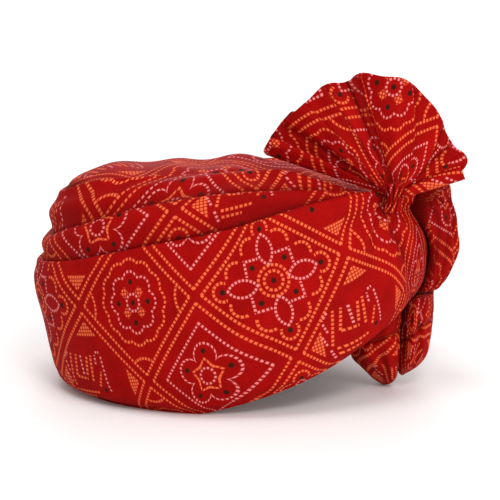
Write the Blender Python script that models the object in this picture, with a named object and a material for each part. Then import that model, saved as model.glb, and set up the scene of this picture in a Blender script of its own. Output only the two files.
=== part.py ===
"""Tied turban: a wound cap, three wraps that rise to one gather, a pleated fan and a tucked tail."""

import bmesh
import bpy
import numpy as np
from mathutils import Matrix, Vector

# Driving sizes in metres. The forehead is at -X, the gather at +X, the shown side at -Y.
HEAD_LENGTH = 0.200
HEAD_WIDTH = 0.160
HEAD_DEPTH = 0.145
CAP_WALL = 0.012
CROWN_HEIGHT = 0.181
CROWN_TOP = 0.174
FAR_DROP = 0.075
WRAP_WALL = 0.058
RIM_RISE_START = 0.028
RIM_RISE_EASE = 0.008
RIM_SLOPE = 0.30
NAPE_RISE = 0.040
HOLLOW_SHOULDER = 0.090
CAP_SHOULDER = 0.105
CAP_TOP = 0.166
CAP_FULLNESS = 2.2
RIM_STEP = 0.003
LIP = 0.0042
LIP_TOP = (0.10, 0.50)
LIP_INNER = (0.15, 1.60)
WRAP_BULGE = 0.0065
WRAP_BOW = 0.13
WRAP_REST = 0.0014
GATHER_DEPTH = 0.014
GATHER_LENGTH = 0.050
DIMPLE_DEPTH = 0.012
DIMPLE_LENGTH = 0.030
FAN_REACH = 0.108
FAN_CLOTH = 0.0026
FAN_PLEAT = 0.0020
FAN_LEAN_UP = 0.14
FAN_LEAN_SIDE = 0.42
FAN_OPENING = 0.8
FAN_SPREAD = 0.55
NECK_WIDTH = 0.027
NECK_HEIGHT = 0.023
NECK_DEPTH = 0.020
NECK_FLUTE = 0.10
NECK_CLEARANCE = 0.0014
END_THICKNESS = 0.018
END_WIDTH = 0.050
END_EDGE = 0.004
END_CLEARANCE = 0.0016
END_FOLD_DEPTH = 0.15
TAIL_THICKNESS = 0.026
TAIL_WIDTH = 0.056
TAIL_LOBE_LENGTH = 0.036
TAIL_LOBE_WIDTH = 0.050
TAIL_LIFT = 0.008
TAIL_FLUTE = 0.10
GAP = 0.0004
CAP_GAP = 0.0006

# Angles run round the head in degrees from the forehead, and both sides share one table.
# "out" is a share of WRAP_WALL, "up" a share of CROWN_HEIGHT.
BAND_COLUMNS = ("angle", "foot", "belly", "edge_up", "seat_up")
BAND_TABLE = (
    (0, 0.40, 0.96, 0.535, 0.30),
    (30, 0.36, 0.90, 0.590, 0.32),
    (60, 0.31, 0.74, 0.690, 0.38),
    (90, 0.30, 0.68, 0.780, 0.45),
    (120, 0.45, 0.72, 0.882, 0.52),
    (150, 0.58, 0.86, 0.880, 0.56),
    (180, 0.66, 0.90, 0.830, 0.56),
)
MIDDLE_COLUMNS = ("angle", "edge_out", "edge_up", "seat_up")
MIDDLE_TABLE = (
    (0, 0.79, 0.650, 0.44),
    (30, 0.67, 0.740, 0.50),
    (60, 0.42, 0.862, 0.60),
    (90, 0.28, 0.928, 0.66),
    (120, 0.34, 0.935, 0.70),
    (150, 0.44, 0.872, 0.68),
    (180, 0.52, 0.845, 0.67),
)
UPPER_COLUMNS = ("angle", "edge_out", "edge_up", "seat_up")
UPPER_TABLE = (
    (0, 0.62, 0.830, 0.63),
    (30, 0.27, 0.925, 0.72),
    (60, -0.34, 0.960, 0.84),
    (90, -0.54, 0.964, 0.87),
    (120, -0.42, 0.972, 0.85),
    (150, 0.08, 0.890, 0.76),
    (180, 0.20, 0.855, 0.72),
)
# How far the band's outside has swung from its foot to its belly, at shares of its height.
ROLL_COLUMNS = ("up", "front", "side", "back")
ROLL_TABLE = (
    (0.05, 0.34, 0.36, 0.40),
    (0.14, 0.52, 0.66, 0.68),
    (0.28, 0.64, 0.88, 0.88),
    (0.45, 0.74, 1.00, 1.00),
    (0.62, 0.85, 1.00, 1.00),
    (0.78, 0.97, 0.93, 0.95),
    (0.90, 1.00, 0.84, 0.88),
    (1.00, 0.93, 0.74, 0.80),
)
# Fan rim: reach from the gather as a share of FAN_REACH, against the ray's angle above +X.
RIM_COLUMNS = ("angle", "reach")
FAN_RIM = (
    (6, 0.36),
    (15, 0.44),
    (25, 0.55),
    (40, 0.53),
    (52, 0.56),
    (64, 0.65),
    (76, 0.73),
    (86, 0.81),
    (97, 0.83),
    (106, 0.87),
    (114, 0.85),
    (120, 0.89),
    (133, 0.88),
    (147, 0.90),
    (157, 0.92),
    (170, 0.94),
)
# Fan lobes: rays from and to, how far each stands toward the shown side, and its own bow.
LOBE_COLUMNS = ("name", "first", "last", "front", "bow", "folds")
FAN_LOBES = (
    ("fan_left", 141, 165, 0.003, 0.004, 1),
    ("fan_middle", 106, 149, 0.010, 0.010, 2),
    ("fan_right", 44, 113, 0.003, 0.009, 3),
    ("fan_end", 9, 49, -0.005, 0.005, 2),
)

# Path of the hanging end down the back of the band, "up" and "thick" as shares too.
END_COLUMNS = ("along", "angle", "up", "width", "thick", "slant")
END_PATH = (
    (0.00, 160.0, 0.880, 0.60, 0.75, 60),
    (0.25, 166.0, 0.830, 0.88, 1.05, 35),
    (0.50, 172.0, 0.700, 1.00, 1.10, 10),
    (0.75, 175.0, 0.560, 1.00, 1.05, 0),
    (1.00, 176.0, 0.425, 0.75, 0.80, 0),
)
# The tail's lobes upward: "x" past the head as a share of WRAP_WALL, "y" of HEAD_WIDTH.
TAIL_COLUMNS = ("up", "x", "y", "half")
TAIL_UPPER = (
    (0.00, 0.556, -0.07, 0.55),
    (0.12, 0.600, -0.07, 0.80),
    (0.30, 0.656, -0.08, 0.93),
    (0.60, 0.693, -0.08, 1.00),
    (1.00, 0.700, -0.06, 1.00),
)
TAIL_LOWER = (
    (0.00, 0.285, -0.07, 0.43),
    (0.12, 0.262, -0.09, 0.54),
    (0.30, 0.208, -0.12, 0.72),
    (0.60, 0.140, -0.16, 1.00),
    (1.00, 0.165, -0.19, 0.96),
)
CROWN_RINGS = np.array([0.97, 0.90, 0.78, 0.62, 0.44, 0.24])
HOLLOW_RINGS = np.array([0.0, 0.35, 0.62, 0.80, 0.92, 0.985])
CROWN_FRONT = 3.0
CROWN_SIDE = 2.2
CROWN_BACK = 1.5

AROUND = 56
CAP_STEPS = 5
OUTSIDE_STEPS = 6
LOBE_ACROSS = 13
LOBE_ALONG = 9
NECK_SIDES = 24
NECK_RINGS = 8
END_ACROSS = 9
END_ALONG = 9
END_FOLDS = 3
TAIL_SIDES = 18
TAIL_RINGS = 9
TAIL_FOLDS = 5
CROWD = 0.30
GATHER_ANGLE = 145.0
GATHER_FOLDS = 8
CROWN_PLEATS = 13
CROWN_PLEAT_DEPTH = 0.0024

CLOTH = {
    "crown": (0.42, 0.010, 0.020),
    "broad_band": (0.50, 0.012, 0.020),
    "wrap_middle": (0.46, 0.012, 0.024),
    "wrap_upper": (0.44, 0.010, 0.024),
    "fan_left": (0.48, 0.010, 0.018),
    "fan_middle": (0.50, 0.012, 0.018),
    "fan_right": (0.47, 0.010, 0.018),
    "fan_end": (0.45, 0.010, 0.018),
    "gather_neck": (0.40, 0.008, 0.016),
    "hanging_end": (0.42, 0.010, 0.018),
    "tail_upper": (0.45, 0.010, 0.018),
    "tail_lower": (0.46, 0.010, 0.018),
}


def clear_scene():
    for item in list(bpy.data.objects):
        bpy.data.objects.remove(item)


def cloth_material(name, colour):
    material = bpy.data.materials.new(name + "_cloth")
    material.use_nodes = True
    shader = material.node_tree.nodes["Principled BSDF"]
    shader.inputs["Base Color"].default_value = (*colour, 1.0)
    shader.inputs["Roughness"].default_value = 0.72
    shader.inputs["Metallic"].default_value = 0.0
    material.diffuse_color = (*colour, 1.0)
    return material


def add_object(name, vertices, faces, collection):
    """One named mesh object with its own cloth material and smooth faces that point out."""
    mesh = bpy.data.meshes.new(name)
    mesh.from_pydata(np.asarray(vertices).tolist(), [], faces)
    shell = bmesh.new()
    shell.from_mesh(mesh)
    bmesh.ops.triangulate(shell, faces=shell.faces)
    bmesh.ops.recalc_face_normals(shell, faces=shell.faces)
    shell.to_mesh(mesh)
    shell.free()
    mesh.materials.append(cloth_material(name, CLOTH[name]))
    mesh.shade_smooth()
    item = bpy.data.objects.new(name, mesh)
    collection.objects.link(item)
    return item


def column(table, names, wanted):
    return np.array([row[names.index(wanted)] for row in table], float)


def smooth_read(places, values, wanted):
    """Cubic through the rows of a table, level at both ends."""
    slopes = np.gradient(values, places)
    slopes[0] = 0.0
    slopes[-1] = 0.0
    cell = np.clip(np.searchsorted(places, wanted, side="right") - 1, 0, len(places) - 2)
    width = places[cell + 1] - places[cell]
    s = (wanted - places[cell]) / width
    start = values[cell] * (1 + 2 * s) * (1 - s) ** 2 + slopes[cell] * width * s * (1 - s) ** 2
    end = values[cell + 1] * s * s * (3 - 2 * s) + slopes[cell + 1] * width * s * s * (s - 1)
    return start + end


def round_head(table, names, wanted, angles):
    return smooth_read(column(table, names, "angle"), column(table, names, wanted), np.abs(angles))


def height_round_head(table, names, wanted, angles):
    """Heights, a little lower on the far side, where the wraps cross under the others."""
    drop = FAR_DROP * np.clip(-np.sin(np.radians(angles)), 0, 1)
    return round_head(table, names, wanted, angles) * CROWN_HEIGHT * (1 - drop)


def plan(angles, out):
    """Plan point at a distance outside the head's ellipse; positive angles are the shown side."""
    turn = np.radians(angles)
    x = -(HEAD_LENGTH / 2 + out) * np.cos(turn)
    y = -(HEAD_WIDTH / 2 + out) * np.sin(turn)
    return x, y


def to_space(angles, section):
    """(out, up) sections to points: a row for each angle, a column for each section point."""
    x, y = plan(angles[:, None], section[..., 0])
    return np.stack([x, y, section[..., 1]], -1)


def rim_height(x):
    """The rim lies on the surface in front and rises toward the nape, steeper at the last."""
    past = np.maximum(x + RIM_RISE_START, 0.0)
    run = RIM_RISE_START + HEAD_LENGTH / 2 + WRAP_WALL
    return RIM_SLOPE * past * past / (past + RIM_RISE_EASE) + NAPE_RISE * (past / run) ** 3


def dome_out(height, wall, shoulder, top, fullness):
    """Distance outside the head's ellipse of a dome that closes from its shoulder to its top."""
    risen = np.clip((height - shoulder) / (top - shoulder), 0.0, 1.0)
    left = (1 - risen**fullness) ** (1 / fullness)
    return wall - (HEAD_WIDTH / 2 + wall) * (1 - left)


def cap_out(height):
    return dome_out(height, CAP_WALL, CAP_SHOULDER, CAP_TOP, CAP_FULLNESS)


def unit(vectors):
    return vectors / np.linalg.norm(vectors, axis=-1, keepdims=True)


def outward(direction):
    """Normal in the (out, up) plane on the outer side of a direction that climbs."""
    return np.stack([direction[..., 1], -direction[..., 0]], -1)


def band_outside(angles, share):
    """Distance out of the band's outside at shares of its height; both arrays have one shape."""
    facing = np.cos(np.radians(angles))
    ahead = np.clip(facing, 0, 1) ** 2
    behind = np.clip(-facing, 0, 1) ** 2
    places = column(ROLL_TABLE, ROLL_COLUMNS, "up")
    front, side, back = (
        np.interp(share, places, column(ROLL_TABLE, ROLL_COLUMNS, name))
        for name in ("front", "side", "back")
    )
    swing = front * ahead + back * behind + side * (1 - ahead - behind)
    foot = round_head(BAND_TABLE, BAND_COLUMNS, "foot", angles) * WRAP_WALL
    belly = round_head(BAND_TABLE, BAND_COLUMNS, "belly", angles) * WRAP_WALL
    return foot + (belly - foot) * swing


def band_edge_up(angles):
    return height_round_head(BAND_TABLE, BAND_COLUMNS, "edge_up", angles)


def seat(table, names, angles, lift=0.0):
    """Point on the cap where a wrap's inner side ends."""
    up = height_round_head(table, names, "seat_up", angles) + lift
    return np.stack([cap_out(up) + CAP_GAP, up], -1)


def lip_points(edge, start):
    """Rolled edge of a wrap: its round top and the inner point behind it."""
    along = unit(edge - start)
    away = outward(along)
    top = edge + LIP * (LIP_TOP[0] * along - LIP_TOP[1] * away)
    inner = edge + LIP * (LIP_INNER[0] * along - LIP_INNER[1] * away)
    return top, inner


def bowed(start, end, steps):
    """Points from after start to end, bowed outward as a parabola."""
    s = (np.arange(1, steps + 1) / steps)[None, :, None]
    chord = np.linalg.norm(end - start, axis=-1)[:, None, None]
    bulge = np.minimum(WRAP_BULGE, WRAP_BOW * chord)
    away = outward(unit(end - start))[:, None, :]
    return start[:, None] + (end - start)[:, None] * s + away * bulge * 4 * s * (1 - s)


def gather_point():
    """Where the wraps' folds meet, on the band's edge at the shown side of the back."""
    angle = np.array([GATHER_ANGLE])
    x, y = plan(angle, band_outside(angle, np.array([1.0])))
    return np.array([x[0], y[0], band_edge_up(angle)[0]])


def gathered(points):
    """Folds that radiate from the gather and a dimple round it, pushed in toward the head."""
    centre = gather_point()
    across = np.hypot(points[..., 0] - centre[0], points[..., 1] - centre[1])
    height = points[..., 2] - centre[2]
    distance = np.hypot(across, height)
    ray = np.arctan2(height, np.where(points[..., 0] > centre[0], across, -across))
    fold = 0.5 - 0.5 * np.cos(GATHER_FOLDS * ray)
    below = np.clip(-height / DIMPLE_LENGTH, 0, 1)
    depth = GATHER_DEPTH * fold * below * np.exp(-distance / GATHER_LENGTH)
    depth += DIMPLE_DEPTH * np.exp(-((distance / DIMPLE_LENGTH) ** 2))
    kept = 1 - depth / np.hypot(points[..., 0], points[..., 1])
    return points * np.stack([kept, kept, np.ones_like(kept)], -1)


def ring_faces(rows, columns):
    """Quads of a grid closed both round the head and round its section."""
    faces = []
    for i in range(rows):
        j = (i + 1) % rows
        for k in range(columns):
            m = (k + 1) % columns
            faces.append((i * columns + k, j * columns + k, j * columns + m, i * columns + m))
    return faces


def head_angles():
    """Degrees round the head, closer together near the gather."""
    even = np.linspace(-180, 180, AROUND, endpoint=False)
    crowded = even - np.degrees(CROWD) * np.sin(np.radians(even - GATHER_ANGLE))
    return (crowded + 180) % 360 - 180


def add_band(angles, collection):
    """The broad band: flat foot, rolled belly and rolled top edge, against the cap inside."""
    shares = column(ROLL_TABLE, ROLL_COLUMNS, "up")[None, :]
    foot = band_outside(angles, np.zeros_like(angles))
    outside = band_outside(angles[:, None] + 0 * shares, shares + 0 * angles[:, None])
    low = rim_height(plan(angles, foot)[0])
    top_up = band_edge_up(angles)
    climb = low[:, None] + (top_up - low)[:, None] * shares
    profile = np.stack([outside, climb], -1)
    top, inner = lip_points(profile[:, -1], profile[:, -2])
    inside = np.full_like(angles, CAP_WALL + CAP_GAP)
    inside_low = rim_height(plan(angles, inside)[0])
    section = np.concatenate(
        [
            np.stack([inside, inside_low], -1)[:, None],
            np.stack([foot, low], -1)[:, None],
            profile,
            top[:, None],
            inner[:, None],
            seat(BAND_TABLE, BAND_COLUMNS, angles)[:, None],
        ],
        1,
    )
    points = to_space(angles, section)
    points[:, 2:-1] = gathered(points[:, 2:-1])
    add_object("broad_band", points.reshape(-1, 3), ring_faces(*points.shape[:2]), collection)
    return inner


def add_wrap(name, table, names, below, valley, angles, collection):
    """One wrap above another: it starts in the valley behind the lower lip and ends in its own."""
    below_table, below_names = below
    base = seat(below_table, below_names, angles, WRAP_REST)
    own_seat = seat(table, names, angles)
    steps = np.linspace(0, 1, CAP_STEPS + 1)[None, :]
    up = base[:, 1:] + (own_seat[:, 1:] - base[:, 1:]) * steps
    against_cap = np.stack([cap_out(up) + CAP_GAP, up], -1)
    out = round_head(table, names, "edge_out", angles) * WRAP_WALL
    edge = np.stack([out, height_round_head(table, names, "edge_up", angles)], -1)
    start = valley + GAP * unit(edge - valley)
    outside = bowed(start, edge, OUTSIDE_STEPS)
    top, inner = lip_points(edge, outside[:, -2])
    section = np.concatenate(
        [
            against_cap[:, ::-1],
            start[:, None],
            outside,
            top[:, None],
            inner[:, None],
        ],
        1,
    )
    points = to_space(angles, section)
    points[:, CAP_STEPS + 1 :] = gathered(points[:, CAP_STEPS + 1 :])
    add_object(name, points.reshape(-1, 3), ring_faces(*points.shape[:2]), collection)
    return inner


def dome_faces(rows, columns, pole, first=0):
    """Quads between rings of columns points, and a fan of triangles to the pole."""
    faces = []
    for i in range(rows - 1):
        for k in range(columns):
            m = (k + 1) % columns
            a = first + i * columns
            faces.append((a + k, a + m, a + columns + m, a + columns + k))
    last = first + (rows - 1) * columns
    faces.extend((last + k, last + (k + 1) % columns, pole) for k in range(columns))
    return faces


def crown_pleats(points, share):
    """Low pleats over the crown that run out from the gather."""
    centre = gather_point()
    ray = np.arctan2(points[..., 1] - centre[1], points[..., 0] - centre[0])
    wave = np.cos(CROWN_PLEATS * ray)
    rise = 4 * share * (1 - share)
    points[..., 2] += CROWN_PLEAT_DEPTH * wave * rise
    return points


def add_crown(valley, angles, collection):
    """The cap round the head's hollow, with the pleated crown that shows inside the upper wrap."""
    inside_low = rim_height(plan(angles, np.zeros_like(angles))[0]) + RIM_STEP
    low = rim_height(plan(angles, np.full_like(angles, CAP_WALL))[0]) + RIM_STEP
    seat_up = seat(UPPER_TABLE, UPPER_COLUMNS, angles)[:, 1]
    steps = np.linspace(0, 1, CAP_STEPS + 1)[None, :]
    wall_top = np.minimum(CAP_SHOULDER, seat_up)
    wall = np.stack([cap_out(0 * low), low], -1)
    curved_up = wall_top[:, None] + (seat_up - wall_top)[:, None] * steps
    curved = np.stack([cap_out(curved_up), curved_up], -1)
    start = valley - GAP * outward(unit(valley - curved[:, -1]))
    outer = to_space(angles, np.concatenate([wall[:, None], curved, start[:, None]], 1))
    facing = np.cos(np.radians(angles))
    fullness = CROWN_SIDE + np.where(
        facing > 0, (CROWN_FRONT - CROWN_SIDE) * facing**2, (CROWN_BACK - CROWN_SIDE) * facing**2
    )
    share = CROWN_RINGS[None, :]
    edge = to_space(angles, start[:, None])
    dome = edge * np.array([1.0, 1.0, 0.0]) * share[..., None]
    rise = (1 - share ** fullness[:, None]) ** (1 / fullness[:, None])
    dome[..., 2] = edge[..., 2] + (CROWN_TOP - edge[..., 2]) * rise
    dome = gathered(crown_pleats(dome, share))
    outer[:, -1:] = gathered(outer[:, -1:])
    hollow_up = HOLLOW_SHOULDER + (HEAD_DEPTH - HOLLOW_SHOULDER) * HOLLOW_RINGS
    hollow_out = dome_out(hollow_up, 0.0, HOLLOW_SHOULDER, HEAD_DEPTH, CAP_FULLNESS)
    hollow = np.stack([hollow_out, hollow_up], -1) + np.zeros((len(angles), 1, 1))
    inner = to_space(angles, np.concatenate([np.stack([0 * low, inside_low], -1)[:, None], hollow], 1))
    skin = np.concatenate([outer, dome], 1).transpose(1, 0, 2)
    lining = inner.transpose(1, 0, 2)
    around = len(angles)
    total = (len(skin) + len(lining)) * around
    faces = dome_faces(len(skin), around, total)
    faces += dome_faces(len(lining), around, total + 1, len(skin) * around)
    under = len(skin) * around
    faces += [(k, (k + 1) % around, under + (k + 1) % around, under + k) for k in range(around)]
    poles = [(0.0, 0.0, CROWN_TOP), (0.0, 0.0, HEAD_DEPTH)]
    vertices = np.concatenate([skin.reshape(-1, 3), lining.reshape(-1, 3), np.array(poles)])
    add_object("crown", vertices, faces, collection)


def sheet_faces(rows, columns):
    """Both sides and the rim of a sheet whose back grid follows its front grid."""
    back = rows * columns
    faces = []
    for i in range(rows - 1):
        for k in range(columns - 1):
            a = i * columns + k
            quad = (a, a + 1, a + columns + 1, a + columns)
            faces.append(quad)
            faces.append(tuple(back + v for v in reversed(quad)))
    rim = [k for k in range(columns)]
    rim += [i * columns + columns - 1 for i in range(1, rows)]
    rim += [(rows - 1) * columns + k for k in range(columns - 2, -1, -1)]
    rim += [i * columns for i in range(rows - 2, 0, -1)]
    for a, b in zip(rim, rim[1:] + rim[:1]):
        faces.append((a, back + a, back + b, b))
    return faces


def fan_surface(lobe):
    """Middle of a lobe's cloth: rays from the neck, bowed and pleated toward the shown side."""
    u = np.linspace(0, 1, LOBE_ACROSS)[:, None]
    v = np.linspace(0, 1, LOBE_ALONG)[None, :]
    degrees = lobe["last"] + (lobe["first"] - lobe["last"]) * u
    ray = np.radians(degrees)
    reach = smooth_read(
        column(FAN_RIM, RIM_COLUMNS, "angle"), column(FAN_RIM, RIM_COLUMNS, "reach"), degrees
    )
    start = 1 / np.hypot(np.cos(ray) / NECK_WIDTH, np.sin(ray) / NECK_HEIGHT) / 2
    run = start + (reach * FAN_REACH - start) * v
    lean = run * (FAN_LEAN_UP + (FAN_LEAN_SIDE - FAN_LEAN_UP) * np.clip(-np.cos(ray), 0, 1))
    open_out = v**FAN_OPENING
    pleat = FAN_PLEAT * np.cos(2 * np.pi * lobe["folds"] * u)
    wave = (lobe["bow"] + pleat) * np.sin(np.pi * u)
    forward = lobe["front"] * (1 - FAN_SPREAD + FAN_SPREAD * open_out) + wave * open_out
    centre = fan_base()
    x = centre[0] + run * np.cos(ray)
    z = centre[2] + run * np.sin(ray)
    y = centre[1] + lean - forward
    return np.stack([x, y, z], -1)


def fan_base():
    """The fan's rays start at the neck's middle."""
    centre = gather_point()
    away = centre[:2] / np.linalg.norm(centre[:2])
    centre[:2] += away * (NECK_DEPTH / 2 + NECK_CLEARANCE - DIMPLE_DEPTH)
    return centre


def thickened(middle, thickness):
    """Front and back grids of a sheet, half its thickness to each side along its normals."""
    along = np.gradient(middle, axis=0)
    outer = np.gradient(middle, axis=1)
    normal = unit(np.cross(along, outer))
    return np.concatenate([middle + normal * thickness / 2, middle - normal * thickness / 2])


def add_fan(collection):
    faces = sheet_faces(LOBE_ACROSS, LOBE_ALONG)
    for row in FAN_LOBES:
        lobe = dict(zip(LOBE_COLUMNS, row))
        grids = thickened(fan_surface(lobe), FAN_CLOTH)
        add_object(lobe["name"], grids.reshape(-1, 3), faces, collection)


def add_neck(collection):
    """The fluted bundle of folds in the dimple, which the wraps and the fan run out of."""
    ball = bmesh.new()
    bmesh.ops.create_uvsphere(ball, u_segments=NECK_SIDES, v_segments=NECK_RINGS, radius=0.5)
    points = np.array([vertex.co[:] for vertex in ball.verts])
    faces = [tuple(vertex.index for vertex in face.verts) for face in ball.faces]
    ball.free()
    turn = np.arctan2(points[:, 1], points[:, 0])
    flute = 1 - NECK_FLUTE * (0.5 + 0.5 * np.cos(GATHER_FOLDS * turn))
    size = np.array([NECK_WIDTH, NECK_HEIGHT, NECK_DEPTH])
    points = points * size * np.stack([flute, flute, np.ones_like(flute)], -1)
    centre = fan_base()
    away = np.array([centre[0], centre[1], 0.0]) / np.hypot(centre[0], centre[1])
    side = np.array([-away[1], away[0], 0.0])
    placed = centre + points[:, :1] * side + points[:, 1:2] * np.array([0.0, 0.0, 1.0])
    placed = placed + points[:, 2:] * away
    add_object("gather_neck", placed, faces, collection)


def add_hanging_end(collection):
    """A gathered cloth end laid down the back of the band, from beside the neck to the rim."""
    u = np.linspace(-1, 1, END_ACROSS)[:, None]
    v = np.linspace(0, 1, END_ALONG)[None, :]
    places = column(END_PATH, END_COLUMNS, "along")
    centre_angle = smooth_read(places, column(END_PATH, END_COLUMNS, "angle"), v)
    centre_up = smooth_read(places, column(END_PATH, END_COLUMNS, "up"), v) * CROWN_HEIGHT
    width = smooth_read(places, column(END_PATH, END_COLUMNS, "width"), v) * END_WIDTH / 2
    radius = HEAD_LENGTH / 2 + WRAP_WALL
    slant = smooth_read(places, column(END_PATH, END_COLUMNS, "slant"), v)
    angle = centre_angle + np.degrees(u * width * np.cos(np.radians(slant)) / radius)
    up = centre_up + u * width * np.sin(np.radians(slant))
    foot = band_outside(angle, 0 * angle)
    low = rim_height(plan(angle, foot)[0])
    share = np.clip((up - low) / (band_edge_up(angle) - low), 0, 1)
    inside = band_outside(angle, share) + END_CLEARANCE
    fold = 1 - END_FOLD_DEPTH * (1 - np.cos(END_FOLDS * np.pi * u))
    thick = END_THICKNESS * smooth_read(places, column(END_PATH, END_COLUMNS, "thick"), v)
    outside = inside + END_EDGE + (thick - END_EDGE) * fold * (1 - u**4)
    back = np.stack([*plan(angle, inside), up], -1)
    front = np.stack([*plan(angle, outside), up], -1)
    grids = np.concatenate([front, back])
    add_object("hanging_end", grids.reshape(-1, 3), sheet_faces(END_ACROSS, END_ALONG), collection)


def add_tail(name, table, width, base, collection):
    """One lobe of the tucked tail: rounded rings from its base up to the rim's underside."""
    turn = np.linspace(0, 2 * np.pi, TAIL_SIDES, endpoint=False)[:, None]
    v = np.linspace(0, 1, TAIL_RINGS)[None, :]
    places = column(table, TAIL_COLUMNS, "up")
    middle_x = HEAD_LENGTH / 2 + smooth_read(places, column(table, TAIL_COLUMNS, "x"), v) * WRAP_WALL
    middle_y = smooth_read(places, column(table, TAIL_COLUMNS, "y"), v) * HEAD_WIDTH
    half = smooth_read(places, column(table, TAIL_COLUMNS, "half"), v) / 2
    flute = 1 - TAIL_FLUTE * (0.5 + 0.5 * np.cos(TAIL_FOLDS * turn)) * np.sin(np.pi * v)
    x = middle_x + width[0] * half * np.cos(turn) * flute
    y = middle_y + width[1] * half * np.sin(turn) * flute
    foot_x = HEAD_LENGTH / 2 + BAND_TABLE[-1][BAND_COLUMNS.index("foot")] * WRAP_WALL
    z = base + (rim_height(np.minimum(x, foot_x)) - GAP - base) * v
    rings = np.stack([x, y, z], -1).transpose(1, 0, 2)
    total = TAIL_RINGS * TAIL_SIDES
    ends = rings[[0, -1]].mean(axis=1)
    ends[1, 2] = rim_height(min(ends[1, 0], foot_x)) - GAP
    faces = dome_faces(TAIL_RINGS, TAIL_SIDES, total + 1)
    faces += [(k, (k + 1) % TAIL_SIDES, total) for k in range(TAIL_SIDES)]
    vertices = np.concatenate([rings.reshape(-1, 3), ends])
    add_object(name, vertices, faces, collection)


def rest_on_base(collection):
    """Moves the whole turban so that its box stands centred on the origin."""
    points = np.concatenate([corners(item) for item in collection.objects])
    low = points.min(axis=0)
    high = points.max(axis=0)
    shift = Vector(((low[0] + high[0]) / 2, (low[1] + high[1]) / 2, low[2]))
    for item in collection.objects:
        item.data.transform(Matrix.Translation(-shift))


def corners(item):
    return np.array([vertex.co[:] for vertex in item.data.vertices])


def main():
    clear_scene()
    collection = bpy.data.collections.new("tied_turban")
    bpy.context.scene.collection.children.link(collection)
    angles = head_angles()
    band_valley = add_band(angles, collection)
    middle = (MIDDLE_TABLE, MIDDLE_COLUMNS)
    band = (BAND_TABLE, BAND_COLUMNS)
    middle_valley = add_wrap("wrap_middle", *middle, band, band_valley, angles, collection)
    upper = (UPPER_TABLE, UPPER_COLUMNS)
    upper_valley = add_wrap("wrap_upper", *upper, middle, middle_valley, angles, collection)
    add_crown(upper_valley, angles, collection)
    add_fan(collection)
    add_neck(collection)
    add_hanging_end(collection)
    add_tail("tail_upper", TAIL_UPPER, (TAIL_THICKNESS, TAIL_WIDTH), TAIL_LIFT, collection)
    add_tail("tail_lower", TAIL_LOWER, (TAIL_LOBE_LENGTH, TAIL_LOBE_WIDTH), 0.0, collection)
    rest_on_base(collection)


main()
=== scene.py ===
from functools import reduce

import bpy
import numpy as np
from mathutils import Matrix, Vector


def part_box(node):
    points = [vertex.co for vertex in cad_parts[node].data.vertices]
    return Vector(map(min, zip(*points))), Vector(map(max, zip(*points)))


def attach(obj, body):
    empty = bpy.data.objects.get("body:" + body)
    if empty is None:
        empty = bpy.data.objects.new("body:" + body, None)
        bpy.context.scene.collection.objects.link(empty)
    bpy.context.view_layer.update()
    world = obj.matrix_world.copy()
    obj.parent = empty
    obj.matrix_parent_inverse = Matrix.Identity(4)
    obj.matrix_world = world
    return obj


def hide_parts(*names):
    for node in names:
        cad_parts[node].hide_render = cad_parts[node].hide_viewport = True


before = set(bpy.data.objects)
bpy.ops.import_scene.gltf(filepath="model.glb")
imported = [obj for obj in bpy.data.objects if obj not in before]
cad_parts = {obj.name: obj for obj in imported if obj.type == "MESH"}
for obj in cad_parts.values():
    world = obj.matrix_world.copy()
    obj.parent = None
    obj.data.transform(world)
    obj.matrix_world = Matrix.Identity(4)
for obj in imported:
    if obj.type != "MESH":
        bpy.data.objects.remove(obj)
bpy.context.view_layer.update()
print("frame loaded")

# The head and the wraps, in metres. Angles run round the head in degrees from the forehead,
# "out" is a share of the wrap wall and "up" a share of the crown height.
head = {
    "length": 0.200,
    "width": 0.160,
    "depth": 0.145,
    "capWall": 0.012,
    "crownHeight": 0.181,
    "crownTop": 0.174,
    "farDrop": 0.075,
    "wrapWall": 0.058,
    "rimStart": 0.028,
    "rimEase": 0.008,
    "rimSlope": 0.30,
    "napeRise": 0.040,
    "rimStep": 0.003,
    "hollowShoulder": 0.090,
    "capShoulder": 0.105,
    "capTop": 0.166,
    "capFullness": 2.2,
    "lip": 0.0042,
    "bulge": 0.0065,
    "bow": 0.13,
    "rest": 0.0014,
    "gap": 0.0004,
    "capGap": 0.0006,
}
gather = {
    "angle": 145.0,
    "folds": 8,
    "depth": 0.014,
    "length": 0.050,
    "dimple": 0.012,
    "dimpleLength": 0.030,
}


def smoothRead(places, values, wanted):
    # cubic through the rows of a table, level at both ends
    places = np.asarray(places, float)
    values = np.asarray(values, float)
    slopes = np.gradient(values, places)
    slopes[0] = 0.0
    slopes[-1] = 0.0
    cell = np.clip(np.searchsorted(places, wanted, side="right") - 1, 0, len(places) - 2)
    width = places[cell + 1] - places[cell]
    s = (wanted - places[cell]) / width
    first = values[cell] * (1 + 2 * s) * (1 - s) ** 2 + slopes[cell] * width * s * (1 - s) ** 2
    last = values[cell + 1] * s * s * (3 - 2 * s) + slopes[cell + 1] * width * s * s * (s - 1)
    return first + last


def unit(vectors):
    # each vector over its own length
    return vectors / np.maximum(np.linalg.norm(vectors, axis=-1, keepdims=True), 1e-12)


def bump(distance, width):
    # bell: 1 at distance 0, falling off over width
    return np.exp(-((distance / width) ** 2))


def shadow(strength, distance):
    # bell of darkness; strength holds how dark it is and its width
    darkness, width = strength
    return darkness * bump(distance, width)


def groove(phase):
    # narrow grooves between round folds: 1 in a groove, 0 on a fold's back
    return (0.5 + 0.5 * np.cos(phase)) ** 2.0


def ripple(points, size, seed, waves=7):
    # sum of sines in fixed directions, each size metres or so long, between -1 and 1
    picker = np.random.default_rng(seed)
    total = np.zeros(points.shape[:-1])
    for _ in range(waves):
        direction = unit(picker.normal(size=3)) * 2 * np.pi / (size * picker.uniform(0.7, 1.6))
        total += np.sin(points @ direction + picker.uniform(0, 2 * np.pi))
    return total / waves


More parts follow.
